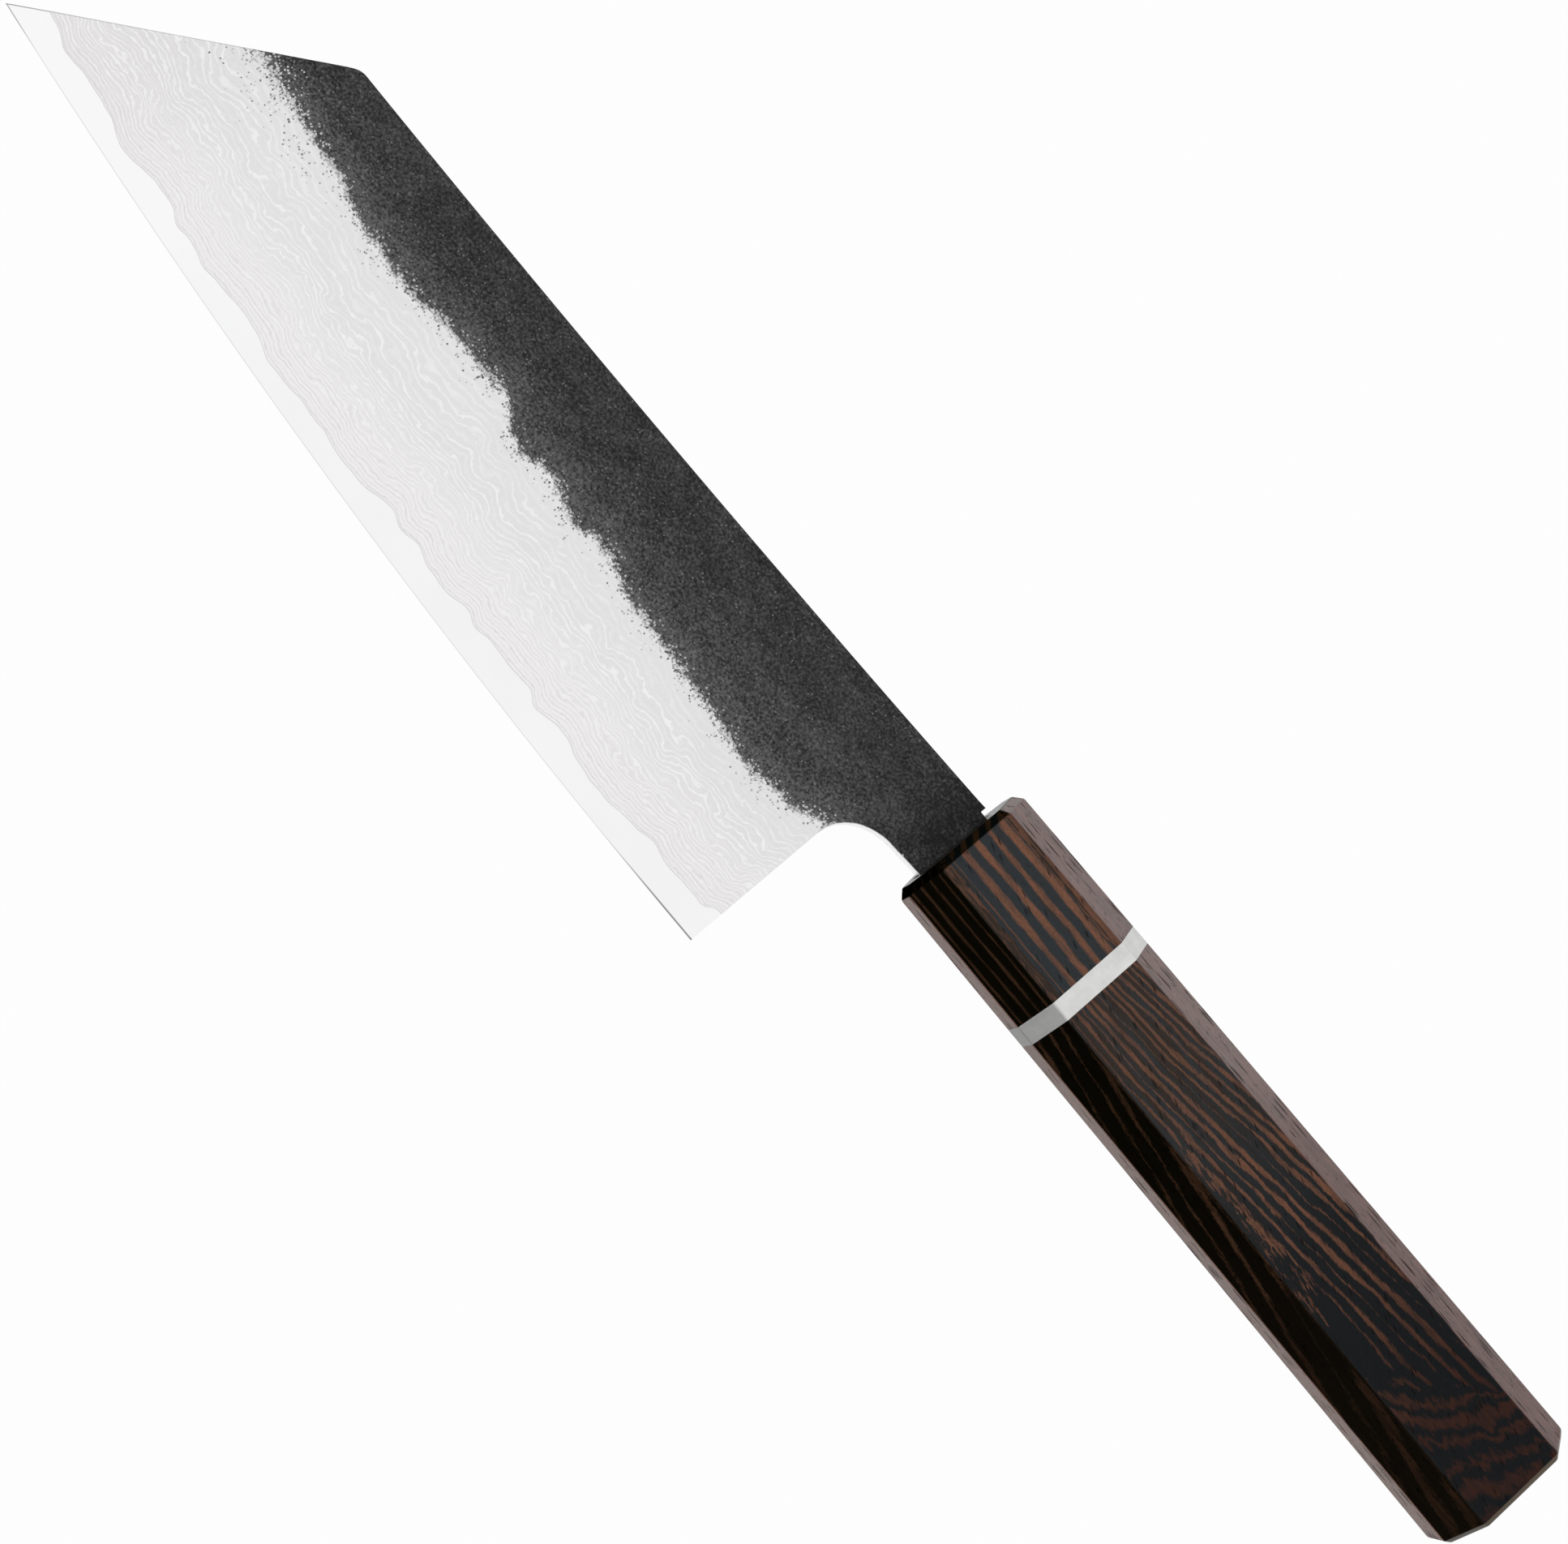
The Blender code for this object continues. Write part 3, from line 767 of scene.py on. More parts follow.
def drawing_place(tree):
    """Place in the drawing in millimetres: the vector and its three parts."""
    place = scaled(new_field(tree, "TexCoord", output="Object"), 1 / MM)
    return place, *parts_of(place)


def facing(tree):
    """Parts of the surface's direction in the drawing: to the butt, to the spine and out of the left face."""
    return parts_of(new_field(tree, "TexCoord", output="Normal"))


def attribute(tree, name):
    """The number that set_attribute gave the mesh under this name."""
    return new_field(tree, "Attribute", output="Fac", attribute_name=name)


def in_view(tree):
    """1 for what the camera sees, in a reflection or through glass too, and 0 for the light it gives."""
    rays = outputs_of(add_node(tree, "LightPath"))
    return clamped(rays["Is Camera Ray"] + rays["Is Glossy Ray"] + rays["Is Transmission Ray"])


def bump(height):
    """Normal from a height in millimetres."""
    return new_field(height.tree, "Bump", {"Height": height, "Distance": MM})


def new_material(name):
    """Material, the tree of its nodes and its Principled shader."""
    material = bpy.data.materials.new(name)
    material.use_nodes = True
    return material, material.node_tree, material.node_tree.nodes["Principled BSDF"]


def new_group(name, inputs, outputs):
    """Node group, its inputs by name and its output node. An input without a value is a vector."""
    tree = bpy.data.node_groups.new(name, "ShaderNodeTree")
    for label, value in inputs.items():
        kind = "NodeSocketVector" if value is None else "NodeSocketFloat"
        socket = tree.interface.new_socket(label, in_out="INPUT", socket_type=kind)
        if value is not None:
            socket.default_value = value
    for label in outputs:
        tree.interface.new_socket(label, in_out="OUTPUT", socket_type="NodeSocketFloat")
    return tree, outputs_of(tree.nodes.new("NodeGroupInput")), tree.nodes.new("NodeGroupOutput")


def use_group(tree, name, build, **values):
    """Outputs of the named group, which is built at its first use."""
    node = tree.nodes.new("ShaderNodeGroup")
    node.node_tree = bpy.data.node_groups.get(name) or build(name)
    feed(node, **values)
    return outputs_of(node)


# Effects that several materials share. Places and sizes in the materials are in millimetres

def fine_scratches(name):
    """Hair-thin polishing marks along one direction, and slow clouds in the polish."""
    tree, given, out = new_group(name, {"Place": None, "Lengthwise": 1.0}, ("Marks", "Clouds"))
    place = given["Place"]
    along = grain(place, (14.0, 0.09, 0.09), 3.0)
    across = grain(place, (0.09, 9.0, 9.0), 3.0, 4.0)
    marks = between(given["Lengthwise"], across, along)
    feed(out, Marks=marks, Clouds=grain(place, (13.0, 7.0, 7.0), 3.0, 9.0))
    return tree


def wood_figure(name):
    """Stripes, pores and fibre of a dark striped wood, from the place and a count of its growth rings."""
    inputs = {"Place": None, "Rings": 0.0, "Brown Share": 0.5, "Unevenness": 0.3, "Softness": 0.16}
    tree, given, out = new_group(name, inputs, ("Brown", "Tone", "Pores", "Fibre", "Height"))
    place, rings, unevenness, softness = (given[n] for n in ("Place", "Rings", "Unevenness", "Softness"))
    ring = math.floor(rings)
    variety = random_of(ring) - 0.5
    x, y, z = parts_of(place)
    slanted = joined(x, y + x * 0.3, z)
    swell = grain(place, (9.0, 1.4, 1.4), 3.0, 3.0, 0.6)
    torn = grain(slanted, (1.3, 0.2, 0.2), 2.0, 6.0, 0.6)
    share = given["Brown Share"] + (variety + torn * 0.8) * unevenness + swell * 0.35
    from_middle = abs(rings - ring - 0.5) * 2.0
    vivid = clamped(grain(place, (6.0, 0.9, 0.9), 2.0, 16.0) * 0.9 + 0.86)
    brown = step(share - from_middle, -softness, softness) * vivid
    strands = grain(place, (5.0, 0.12, 0.12), 3.0, 1.0)
    fibre = grain(place, (0.5, 0.2, 0.2), 2.0, 12.0) * 1.1 + strands
    distance, chance = dots(slanted, (2.2, 0.36, 0.36), 2.0)
    pores = step(distance, 0.5, 0.15) * step(chance, 0.8, 0.95)
    feed(out, Brown=brown, Tone=(variety + swell) * 0.5, Pores=pores, Fibre=fibre)
    feed(out, Height=fibre * 0.0035 - pores * 0.035)
    return tree


# Materials of the blade

def etched_layers(look, flat, x, above_core, above_scale):
    """Colour of the etched layers, and the wave of their lines.

    The lines are contours of a wavy stack. They follow the core closely at first and wander higher up.
    """
    swell = grain(flat, (9.0, 8.0, 5.0), 1.0, 2.0)
    bend = grain(flat, (4.4, 2.6, 5.0), 2.0, 5.0)
    ragged = grain(flat, (1.1, 0.7, 5.0), 3.0, 6.0, 0.55)
    wander = step(above_core, 0.0, 7.0, 0.16, 1.0) * (swell + bend) * 1.6
    depth = above_core + wander + ragged * 0.38
    layers = depth * (1.6 - depth * 0.022)
    wave = reckon("SINE", layers * math.tau)
    fine_wave = reckon("SINE", layers * (2.4 * math.tau))
    patchy = clamped(grain(flat, (3.0, 1.4, 5.0), 3.0, 8.0) * 1.4 + 1.0)
    strength = patchy * step(random_of(math.floor(layers)), 0.05, 0.5, 0.45, 1.0)
    near_scale = step(above_scale, -7.0, -1.5)
    light_line = step(wave, 0.3, 0.95) * (1.0 - near_scale * 0.7)
    dark_line = step(wave, -0.4, -1.0) * step(above_core, 9.0, 1.0, 0.1, 0.95)
    fine_line = step(fine_wave, 0.0, 1.0) * (0.45 - near_scale * 0.35)
    fine_line *= step(grain(flat, (4.0, 1.5, 5.0), 2.0, 52.0), -0.2, 0.4)
    frost = grain(flat, (0.5, 0.3, 5.0), 2.0, 44.0, 0.6)
    clouds = grain(flat, (2.2, 1.5, 5.0), 3.0, 14.0)
    colour = blend(step(above_core, 0.5, 15.0), look.etched_low, look.etched_high)
    for factor, tone in (
        # Darker towards the tip and the heel: painted shade for the dimmer reflection there
        (step(x, -150.0, -180.0, 0.0, 0.5) + step(x, -60.0, -25.0, 0.0, 0.25), look.dark_layer),
        (light_line * strength, look.light_layer),
        (dark_line * strength, look.dark_layer),
        (fine_line, look.light_layer),
        (step(frost, 0.0, 0.8, 0.0, 0.4), look.light_layer),
        (step(frost, 0.0, -0.8, 0.0, 0.3), look.dark_layer),
        (step(clouds, 0.1, 0.8, 0.0, 0.25), look.light_layer),
        (step(above_core, 0.28, 0.05, 0.0, 0.9), look.dark_layer),
    ):
        colour = blend(factor, colour, tone)
    return colour, wave


def scattered(flat, share, offset):
    """Small specks. Where the share is higher there are more of them, and they are larger."""
    distance, chance = dots(flat, (0.44, 0.44, 0.44), offset)
    return step(distance - share * 0.25, 0.46, 0.28) * step(share - chance, 0.0, 0.08)


def forge_scale(look, flat, x, y, above_scale):
    """Where the forge scale lies, its colour and its mottling.

    Past its lobed edge there are ever fewer specks of it, and inside the edge ever fewer pinholes.
    """
    lobe = grain(flat, (3.4, 2.2, 5.0), 3.0, 11.0)
    spray = grain(flat, (8.0, 7.0, 5.0), 1.0, 27.0)
    grit = grain(flat, (0.38, 0.36, 5.0), 2.0, 1.0, 0.6)
    inside = lobe * 1.2 + above_scale
    by_tip = step(x, -135.0, -172.0)
    reach = by_tip * 1.8 + spray + 1.15
    specks = scattered(flat, fading(-inside, reach), 0.0)
    pinholes = scattered(flat, fading(inside, reach * 0.75), 7.0)
    cover = larger(step(grit * 1.7 + inside, -0.5, 0.4), specks * 0.9)
    cover *= 1.0 - pinholes * (by_tip * 0.2 + 0.5)

    mottle = grit * 0.35 + grain(flat, (0.5, 0.44, 5.0), 1.5, 17.0, 0.6)
    mottle *= step(above_scale, 13.0, 0.5, 0.72, 1.05)
    patches = grain(flat, (4.0, 2.6, 5.0), 3.0, 19.0, 0.6) * 0.32
    by_height = step(y, -1.0, -8.0, -0.34, -0.2) + step(above_scale, 7.0, 0.0, 0.0, 0.3)
    by_length = step(x, -120.0, -145.0, 0.0, 0.07) + step(x, -14.0, -5.0, 0.0, -0.22)
    by_length += step(x, -5.0, 0.0, 0.0, 0.2)
    glint = mottle + patches + by_height + by_length
    colour = blend(step(glint, -0.74, 0.8), look.scale_dark, look.scale_light)
    often = fading(inside, 10 / 3) * (by_tip * 0.4 + 0.5) + 0.14
    often *= step(x, -30.0, -8.0, 1.0, 0.4)
    distance, chance = dots(flat, (0.5, 0.5, 0.5), 13.0)
    light_specks = step(distance, 0.4, 0.15) * step(often - chance, 0.0, 0.1)
    return cover, blend(light_specks * 0.5, colour, 0.34), mottle


def tip_outline(tree):
    """Darker hairline along the clipped tip."""
    return step(attribute(tree, "below_tip"), 0.26, 0.06)


def cladding_material(name, look, seed):
    """Layered steel: etched lines below, forge scale above, bare ground steel on the eased rims."""
    material, tree, shader = new_material(name)
    place, x, y, _ = drawing_place(tree)
    flat = joined(x, y, seed)
    above_core, above_scale, rim = (attribute(tree, n) for n in ("above_core", "above_scale", "rim"))
    etched, wave = etched_layers(look, flat, x, above_core, above_scale)
    cover, soot, mottle = forge_scale(look, flat, x, y, above_scale)

    worn = grain(place, (3.0, 0.6, 0.6), 3.0, 15.0) * 0.25 + rim
    worn_from = step(x, -60.0, -8.0, 1.35, 0.35) + step(y, -7.0, -2.0)
    wall = step(abs(facing(tree)[2]), 0.55, 0.25)
    bare = larger(step(worn - worn_from, -0.1, 0.25), wall)
    cover *= 1.0 - bare
    marks = use_group(tree, "Fine Scratches", fine_scratches, Place=place, Lengthwise=1.0)["Marks"]
    ground = blend(marks * 0.5 + 0.5, (0.62, 0.62, 0.63), 0.8)
    steel = blend(bare, etched, blend(wall, ground, 0.95))
    steel = blend(tip_outline(tree) * 0.6, steel, 0.3)
    relief = (mottle * 0.012 + 0.025) * cover + wave * 0.0006
    feed(shader, Base_Color=blend(cover, steel, soot), Metallic=1.0 - cover, Normal=bump(relief))
    feed(shader, Roughness=between(cover, marks * 0.03 + 0.3, 0.62), Specular_IOR_Level=0.15)
    return material


def core_material(look):
    """Hard core: a fine hazy polish, lighter towards the tip as a painted highlight, and a second bevel along
    the cutting edge painted grey as a reflection of darker surroundings.
    """
    material, tree, shader = new_material("core_steel")
    place, x, _, _ = drawing_place(tree)
    above_edge = attribute(tree, "above_edge")
    heel_x, tip_x = HEEL_X / MM, TIP_X / MM
    scratches = use_group(tree, "Fine Scratches", fine_scratches, Place=place, Lengthwise=0.0)
    # Lighter towards the tip: a painted highlight for the brighter reflection there
    tone = scratches["Marks"] * 0.12 + scratches["Clouds"] * 0.4 + 0.5 + step(x, -120.0, -185.0, 0.0, 0.8)
    by_heel = step(x, heel_x - 24.0, heel_x - 6.0)
    by_tip = step(x, tip_x + 11.0, tip_x + 2.0)
    # The second bevel is painted grey, darker by the heel: a painted reflection of darker surroundings that
    # its steeper face would show
    second_bevel = step(above_edge - by_heel * 0.14 - 0.12, 0.05, -0.05)
    outline = larger(step(above_edge, 0.2, 0.05) * by_tip, tip_outline(tree))
    colour = blend(tone, look.core_colour, 0.93)
    colour = blend(second_bevel, colour, blend(by_heel, 0.72, 0.3))
    colour = blend(outline * (by_tip * 0.35 + 0.5), colour, 0.2)
    feed(shader, Base_Color=colour, Roughness=scratches["Marks"] * 0.04 + 0.24, Metallic=1.0)
    feed(shader, Normal=bump(scratches["Marks"] * 0.0002))
    return material


# Materials of the handle

def handle_sides(tree):
    """Which side of the handle the surface is on.

    along and across are its direction to the butt and to the spine. plain are the sides at the spine and at
    the bottom, shown as cut along a ring and partly painted lighter for their sheen, below is the lower
    chamfer, painted in shade, and front and end are the bevels at the two ends, the front one painted in shade
    and the end one painted lighter.
    """
    along, across, _ = facing(tree)
    bottom = step(across, -0.88, -0.96)
    return SimpleNamespace(
        along=along,
        across=across,
        bottom=bottom,
        plain=step(across, 0.4, 0.7) + bottom,
        below=step(across, -0.3, -0.7) * step(across, -0.96, -0.88),
        front=step(along, -0.35, -0.6) * step(across, 0.5, 0.2),
        end=step(along, 0.35, 0.6) * step(along, 0.97, 0.9),
    )


def wood_colour(look, sides, figure, place, to_butt, earthy, vivid, dashes):
    """Colour of the wood: brown and black stripes that fade to the butt, and then what each side adds, which
    is mostly painted light and shade for the way the side faces the lamp.
    """
    below, not_below = sides.below, 1.0 - sides.below
    fibre = figure["Fibre"]
    light = blend(clamped(fibre * 0.8 + figure["Tone"] * 0.5 + 0.5), look.brown_deep, look.brown_light)
    light = blend(to_butt ** 3.0 * not_below, light, look.brown_butt)
    # The plain sides get one even brown, partly as wood cut along a ring and partly as painted light for their
    # sheen
    light = blend(sides.plain, light, look.brown_plain)
    # Painted shade on the lower chamfer: its black is made browner and darker, and further on its brown
    # stripes fade towards the butt
    dark = blend(larger(earthy, below * 0.85), look.black_cool, look.black_brown)
    dark = blend(below * (1.0 - to_butt * 0.5), dark, SHADED_BLACK_BELOW)
    dark = blend(clamped(to_butt * 1.8) * not_below, dark, look.black_butt)
    dark = blend(step(fibre, -0.2, -1.0), dark, look.black_butt)
    faint = below * step(to_butt, 0.45, 0.75, 0.0, 0.65)
    colour = blend(figure["Brown"] * larger(sides.plain, vivid) * (1.0 - faint), dark, light)
    colour = blend(figure["Pores"] * 0.85, colour, WOOD_PORE)
    # Painted shade multiplies the lower chamfer and the front bevel darker; the end bevel and the bottom flat
    # are painted lighter and browner for the light they catch
    colour = blend(below * (1.0 - to_butt * 0.3), colour, SHADE_BELOW, "MULTIPLY")
    colour = blend(sides.front, colour, SHADE_FRONT, "MULTIPLY")
    colour = blend(sides.end * 0.8, colour, PAINTED_LIGHT_END_BEVEL)
    colour = blend(sides.bottom * 0.93, colour, PAINTED_LIGHT_BOTTOM)
    colour = blend(dashes * 0.95, colour, WOOD_CRACK)
    streaks = grain(place, (9.0, 0.22, 0.22), 3.0, 8.0) * 0.7 + 1.0
    return blend(larger(sides.plain, below), colour, scaled(colour, streaks))


def painted_sheen(sides, figure, to_butt, dashes):
    """Coat weight of each side: a painted sheen for the way the side faces the lamp, strong on the upper
    chamfer, the bottom, the front end face and the end bevel, none on the lower chamfer and the front bevel,
    and weaker towards the butt. It is less in cracks and in pores.
    """
    along, across, fibre = sides.along, sides.across, figure["Fibre"]
    upper = step(across, 0.3, 0.75) * step(to_butt, 0.0, 0.4, 0.47, 0.24)
    sheen = upper + 0.33 - sides.below * 0.33 + sides.bottom * 0.29
    sheen *= (1.0 - sides.front) * (1.0 - dashes * 0.85)
    sheen += step(along, -0.35, -0.6) * step(across, 0.2, 0.5) * 0.25
    sheen *= fibre * 0.3 + 1.0 - figure["Pores"] * 0.6
    sheen *= 1.0 - (1.0 - abs(across)) * to_butt * 0.5
    front_face = step(along, -0.9, -0.97) * clamped(fibre * 0.25 + 0.84)
    return larger(sheen, larger(front_face, sides.end * 0.62))


def finish_wood(shader, look, place, rings, share, earthy, vivid, unevenness, softness):
    """Striped wood over a count of growth rings.

    share is how much of each ring is brown, earthy how brownish the black stripes are, and vivid how strongly
    the stripes stand out.
    """
    sides = handle_sides(place.tree)
    figure = use_group(
        place.tree, "Wood Figure", wood_figure, Place=place, Rings=rings * (1.0 - sides.below * 0.42),
        Brown_Share=sides.plain * 1.6 + share, Unevenness=unevenness, Softness=softness,
    )
    to_butt = step(parts_of(place)[0], 38.0, 118.0)
    distance, chance = dots(place, (4.5, 0.5, 0.5), 5.0)
    dashes = step(distance, 0.55, 0.35) * step(chance, 0.82, 0.88) * sides.plain
    colour = wood_colour(look, sides, figure, place, to_butt, earthy, vivid, dashes)
    rough = figure["Brown"] * 0.06 + figure["Pores"] * 0.2 + 0.4
    feed(shader, Base_Color=colour, Roughness=rough, Normal=bump(figure["Height"]))
    # The coat weight is a painted sheen, set side by side for the way each side faces the lamp
    feed(shader, Coat_Weight=painted_sheen(sides, figure, to_butt, dashes), Coat_Roughness=0.25)
    feed(shader, Specular_IOR_Level=0.0)


def ferrule_material(look):
    """Nearly straight stripes, with narrow wisps where the side flat meets its two chamfers."""
    material, tree, shader = new_material("ferrule_wood")
    place, _, y, z = drawing_place(tree)
    sway = grain(place, (16.0, 5.0, 5.0), 2.0, 21.0)
    ripple = grain(place, (3.6, 1.3, 1.3), 2.0, 25.0)
    rings = y / 2.6 + 0.54 + (z - 10.45) * 0.371 + sway * 0.14 + ripple * 0.12
    rings -= larger(-4.6 - y, 0.0) * 0.45
    wisps = grain(place, (7.0, 0.6, 0.6), 2.0, 29.0) * 1.3 + 0.5
    from_middle = abs(ripple * 0.7 + y - 0.1)
    in_wisps = step(from_middle, 5.6, 5.9) * step(abs(y), 7.3, 7.0)
    rings = between(in_wisps > 0.5, rings, wisps)
    wide = step(y, -4.4, -3.6) * step(y, -1.2, -2.0)
    share = wide * 0.12 + step(y, -5.2, -4.2, 0.2, 0.4)
    bands = grain(place, (9.0, 0.8, 0.8), 2.0, 23.0)
    earthy = clamped(step(bands, 0.0, 0.6, 0.0, 0.6) + in_wisps)
    vivid = (1.0 - in_wisps * 0.3) * step(y, -5.0, -4.2, 0.68, 1.0)
    finish_wood(shader, look, place, rings, share, earthy, vivid, 0.12, 0.16)
    return material


def body_material(look):
    """Stripes that rise and fan out from the ring and turn into jagged flames before the butt."""
    material, tree, shader = new_material("body_wood")
    place, x, y, z = drawing_place(tree)
    fan = (x - 30.0) * 0.012 + 1.0
    rise = larger(x - 45.0, 0.0) * step(y, -8.0, -4.0)
    stripes = (y + 6.0 - rise * 0.07) / (fan * 1.12)
    stripes += (z - 10.6) * step(y, -3.0, 6.0, 0.18, 0.5)
    stripes += grain(place, (12.0, 3.0, 3.0), 3.0, 35.0, 0.6) * 0.7
    stripes += step(y + x * 0.008, -7.0, -7.4) * (x * 0.075 - 2.25)

    # Before the butt the rings are cut steeply and stand across as jagged flames
    jag = grain(place, (1.5, 0.7, 0.7), 2.0, 31.0)
    zigzag = grain(place, (9.0, 3.4, 3.4), 2.0, 33.0)
    from_edge = y + 7.0
    lean = step(x, 100.0, 126.0, -1.6, -0.55)
    flames = (x + jag * 2.0 + zigzag * 4.6 + lean * from_edge) / 4.9 + 40.0
    past_border = x - 101.0 - from_edge * 1.07 + grain(place, (5.0, 2.0, 2.0), 2.0, 37.0) * 6.0
    in_flames = step(past_border, -2.0, 2.0) * step(y, -8.2, -7.6)
    seam = 1.0 - abs(in_flames * 2.0 - 1.0)
    rings = between(in_flames > 0.5, stripes, flames)

    low_share, high_share = step(x, 40.0, 90.0, 0.34, 0.2), step(x, 70.0, 98.0, 0.31, 0.22)
    share = between(step(y, -8.0, -6.5), low_share, high_share) + in_flames * 0.25 - seam * 0.3
    in_flecks = step(y, -3.6, -5.4) * step(y, -8.2, -7.6) * step(x, 50.0, 60.0) * step(x, 98.0, 84.0)
    flecks = grain(joined(x, y + x * 0.12, z), (2.6, 0.42, 0.42), 3.0, 47.0, 0.65)
    share += in_flecks * (flecks * 1.6 + 0.12)
    bands = grain(place, (16.0, 1.1, 1.1), 2.0, 39.0)
    earthy = clamped(step(bands, -0.35, 0.35, -0.3, 0.6) + step(x, 35.0, 90.0, 0.55, -0.1))
    vivid = step(x, 45.0, 80.0, 0.66, 0.9)
    finish_wood(shader, look, place, rings, share, earthy, vivid, 0.5, in_flames * 0.2 + 0.17)
    return material


def spacer_material(look):
    """White ring, faintly clouded and streaked."""
    material, tree, shader = new_material("white_spacer")
    place = drawing_place(tree)[0]
    clouds = grain(place, (3.0, 2.2, 2.2), 4.0, 41.0, 0.6)
    veins = grain(place, (0.8, 6.0, 6.0), 3.0, 43.0)
    tone = step(veins * 0.5 + clouds, -0.8, 0.8)
    feed(shader, Base_Color=blend(tone, look.spacer_shade, look.spacer_colour))
    feed(shader, Roughness=clouds * 0.05 + 0.34, Specular_IOR_Level=0.25)
    feed(shader, Normal=bump(grain(place, (0.5, 0.5, 0.5), 2.0, 45.0) * 0.0015))
    return material


def dowel_material():
    """Plain pale wood with fine fibre."""
    material, tree, shader = new_material("dowel_wood")
    place, _, y, z = drawing_place(tree)
    figure = use_group(tree, "Wood Figure", wood_figure, Place=place, Rings=(y + z) * 0.5)
    colour = blend(figure["Brown"], (0.5, 0.36, 0.22), (0.38, 0.26, 0.15))
    colour = blend(figure["Pores"] * 0.6, colour, (0.2, 0.12, 0.06))
    feed(shader, Base_Color=colour, Roughness=0.6, Normal=bump(figure["Height"]))
    return material


def bedding_material():
    """Cured resin with small bubbles."""
    material, tree, shader = new_material("bedding_resin")
    place = drawing_place(tree)[0]
    distance, chance = dots(place, (0.8, 0.8, 0.8), 3.0)
    bubbles = step(distance, 0.3, 0.2) * step(chance, 0.7, 0.75)
    clouds = grain(place, (2.5, 2.5, 2.5), 3.0, 51.0)
    colour = blend(step(clouds, -0.8, 0.8), (0.05, 0.04, 0.03), (0.09, 0.07, 0.05))
    feed(shader, Base_Color=colour, Roughness=0.45, Normal=bump(clouds * 0.01 - bubbles * 0.05))
    return material


def floor_material():
    """White floor: seen as background it is nearly white by itself, and keeps a soft shadow."""
    material, tree, shader = new_material("studio_floor")
    feed(shader, Base_Color=(0.32, 0.32, 0.32, 1), Roughness=0.9, Specular_IOR_Level=0.0)
    glow = new_field(tree, "Emission", {"Color": (1, 1, 1, 1), "Strength": 1.0})
    inputs = {0: in_view(tree) * 0.98, 1: Field(shader.outputs[0]), 2: glow}
    feed(tree.nodes["Material Output"], Surface=new_field(tree, "MixShader", inputs))
    return material


# Settings that a user would change

class BladeLook(bpy.types.PropertyGroup):
    """Mesh and colours of the blade."""

    spacing: FloatProperty(name="Point spacing", description="Distance between points on the blade's faces",
                           default=1.1 * MM, min=0.5 * MM, max=5 * MM, precision=5, unit="LENGTH")
    spine_ease: FloatProperty(name="Spine easing", description="Radius of the eased spine edges",
                              default=0.32 * MM, min=0.05 * MM, max=0.4 * MM, precision=5, unit="LENGTH")
    choil_ease: FloatProperty(name="Choil easing", description="Radius of the eased choil and neck edges",
                              default=0.3 * MM, min=0.05 * MM, max=0.4 * MM, precision=5, unit="LENGTH")
    core_colour: FloatVectorProperty(name="Core", description="Colour of the polished core steel",
                                     default=(0.86, 0.86, 0.87), subtype="COLOR")
    etched_low: FloatVectorProperty(name="Etched steel, low", description="Layered steel by the core",
                                    default=(0.835, 0.82, 0.83), subtype="COLOR")
    etched_high: FloatVectorProperty(name="Etched steel, high", description="Layered steel by the scale",
                                     default=(0.76, 0.752, 0.757), subtype="COLOR")
    dark_layer: FloatVectorProperty(name="Dark layer", description="Colour of the darker etched lines",
                                    default=(0.70, 0.685, 0.695), subtype="COLOR")
    light_layer: FloatVectorProperty(name="Light layer", description="Colour of the brighter etched lines",
                                     default=(0.875, 0.865, 0.875), subtype="COLOR")
    scale_dark: FloatVectorProperty(name="Scale, dark", description="Darkest colour of the forge scale",
                                    default=(0.010, 0.010, 0.0105), subtype="COLOR")
    scale_light: FloatVectorProperty(name="Scale, light", description="Lightest colour of the forge scale",
                                     default=(0.165, 0.165, 0.168), subtype="COLOR")


class HandleLook(bpy.types.PropertyGroup):
    """Edges and colours of the handle."""

    ease: FloatProperty(name="Edge easing", description="Size of the eased edges of the handle",
                        default=0.35 * MM, min=0.1 * MM, max=1 * MM, precision=5, unit="LENGTH")
    brown_light: FloatVectorProperty(name="Brown, light", description="Lighter colour of the brown stripes",
                                     default=(0.205, 0.085, 0.046), subtype="COLOR")
    brown_deep: FloatVectorProperty(name="Brown, deep", description="Deeper colour of the brown stripes",
                                    default=(0.115, 0.049, 0.028), subtype="COLOR")
    brown_butt: FloatVectorProperty(name="Brown at the butt", description="Colour that the stripes fade to",
                                    default=(0.039, 0.0125, 0.0072), subtype="COLOR")
    # Even brown of the plain sides: partly wood cut along a ring, partly painted light for the sheen on the
    # upper chamfer
    brown_plain: FloatVectorProperty(name="Brown, plain", description="Colour of sides cut along a ring",
                                     default=(0.142, 0.065, 0.053), subtype="COLOR")
    black_cool: FloatVectorProperty(name="Black, cool", description="Colour of the plain dark stripes",
                                    default=(0.0185, 0.0232, 0.0262), subtype="COLOR")
    black_brown: FloatVectorProperty(name="Black, brown", description="Colour of the brownish dark stripes",
                                     default=(0.024, 0.0140, 0.0090), subtype="COLOR")
    black_butt: FloatVectorProperty(name="Black at the butt", description="Colour that dark stripes fade to",
                                    default=(0.0040, 0.0050, 0.0060), subtype="COLOR")
    spacer_colour: FloatVectorProperty(name="Spacer", description="Main colour of the white ring",
                                       default=(0.86, 0.86, 0.84), subtype="COLOR")
    spacer_shade: FloatVectorProperty(name="Spacer clouds", description="Colour of the ring's clouds",
                                      default=(0.70, 0.71, 0.69), subtype="COLOR")


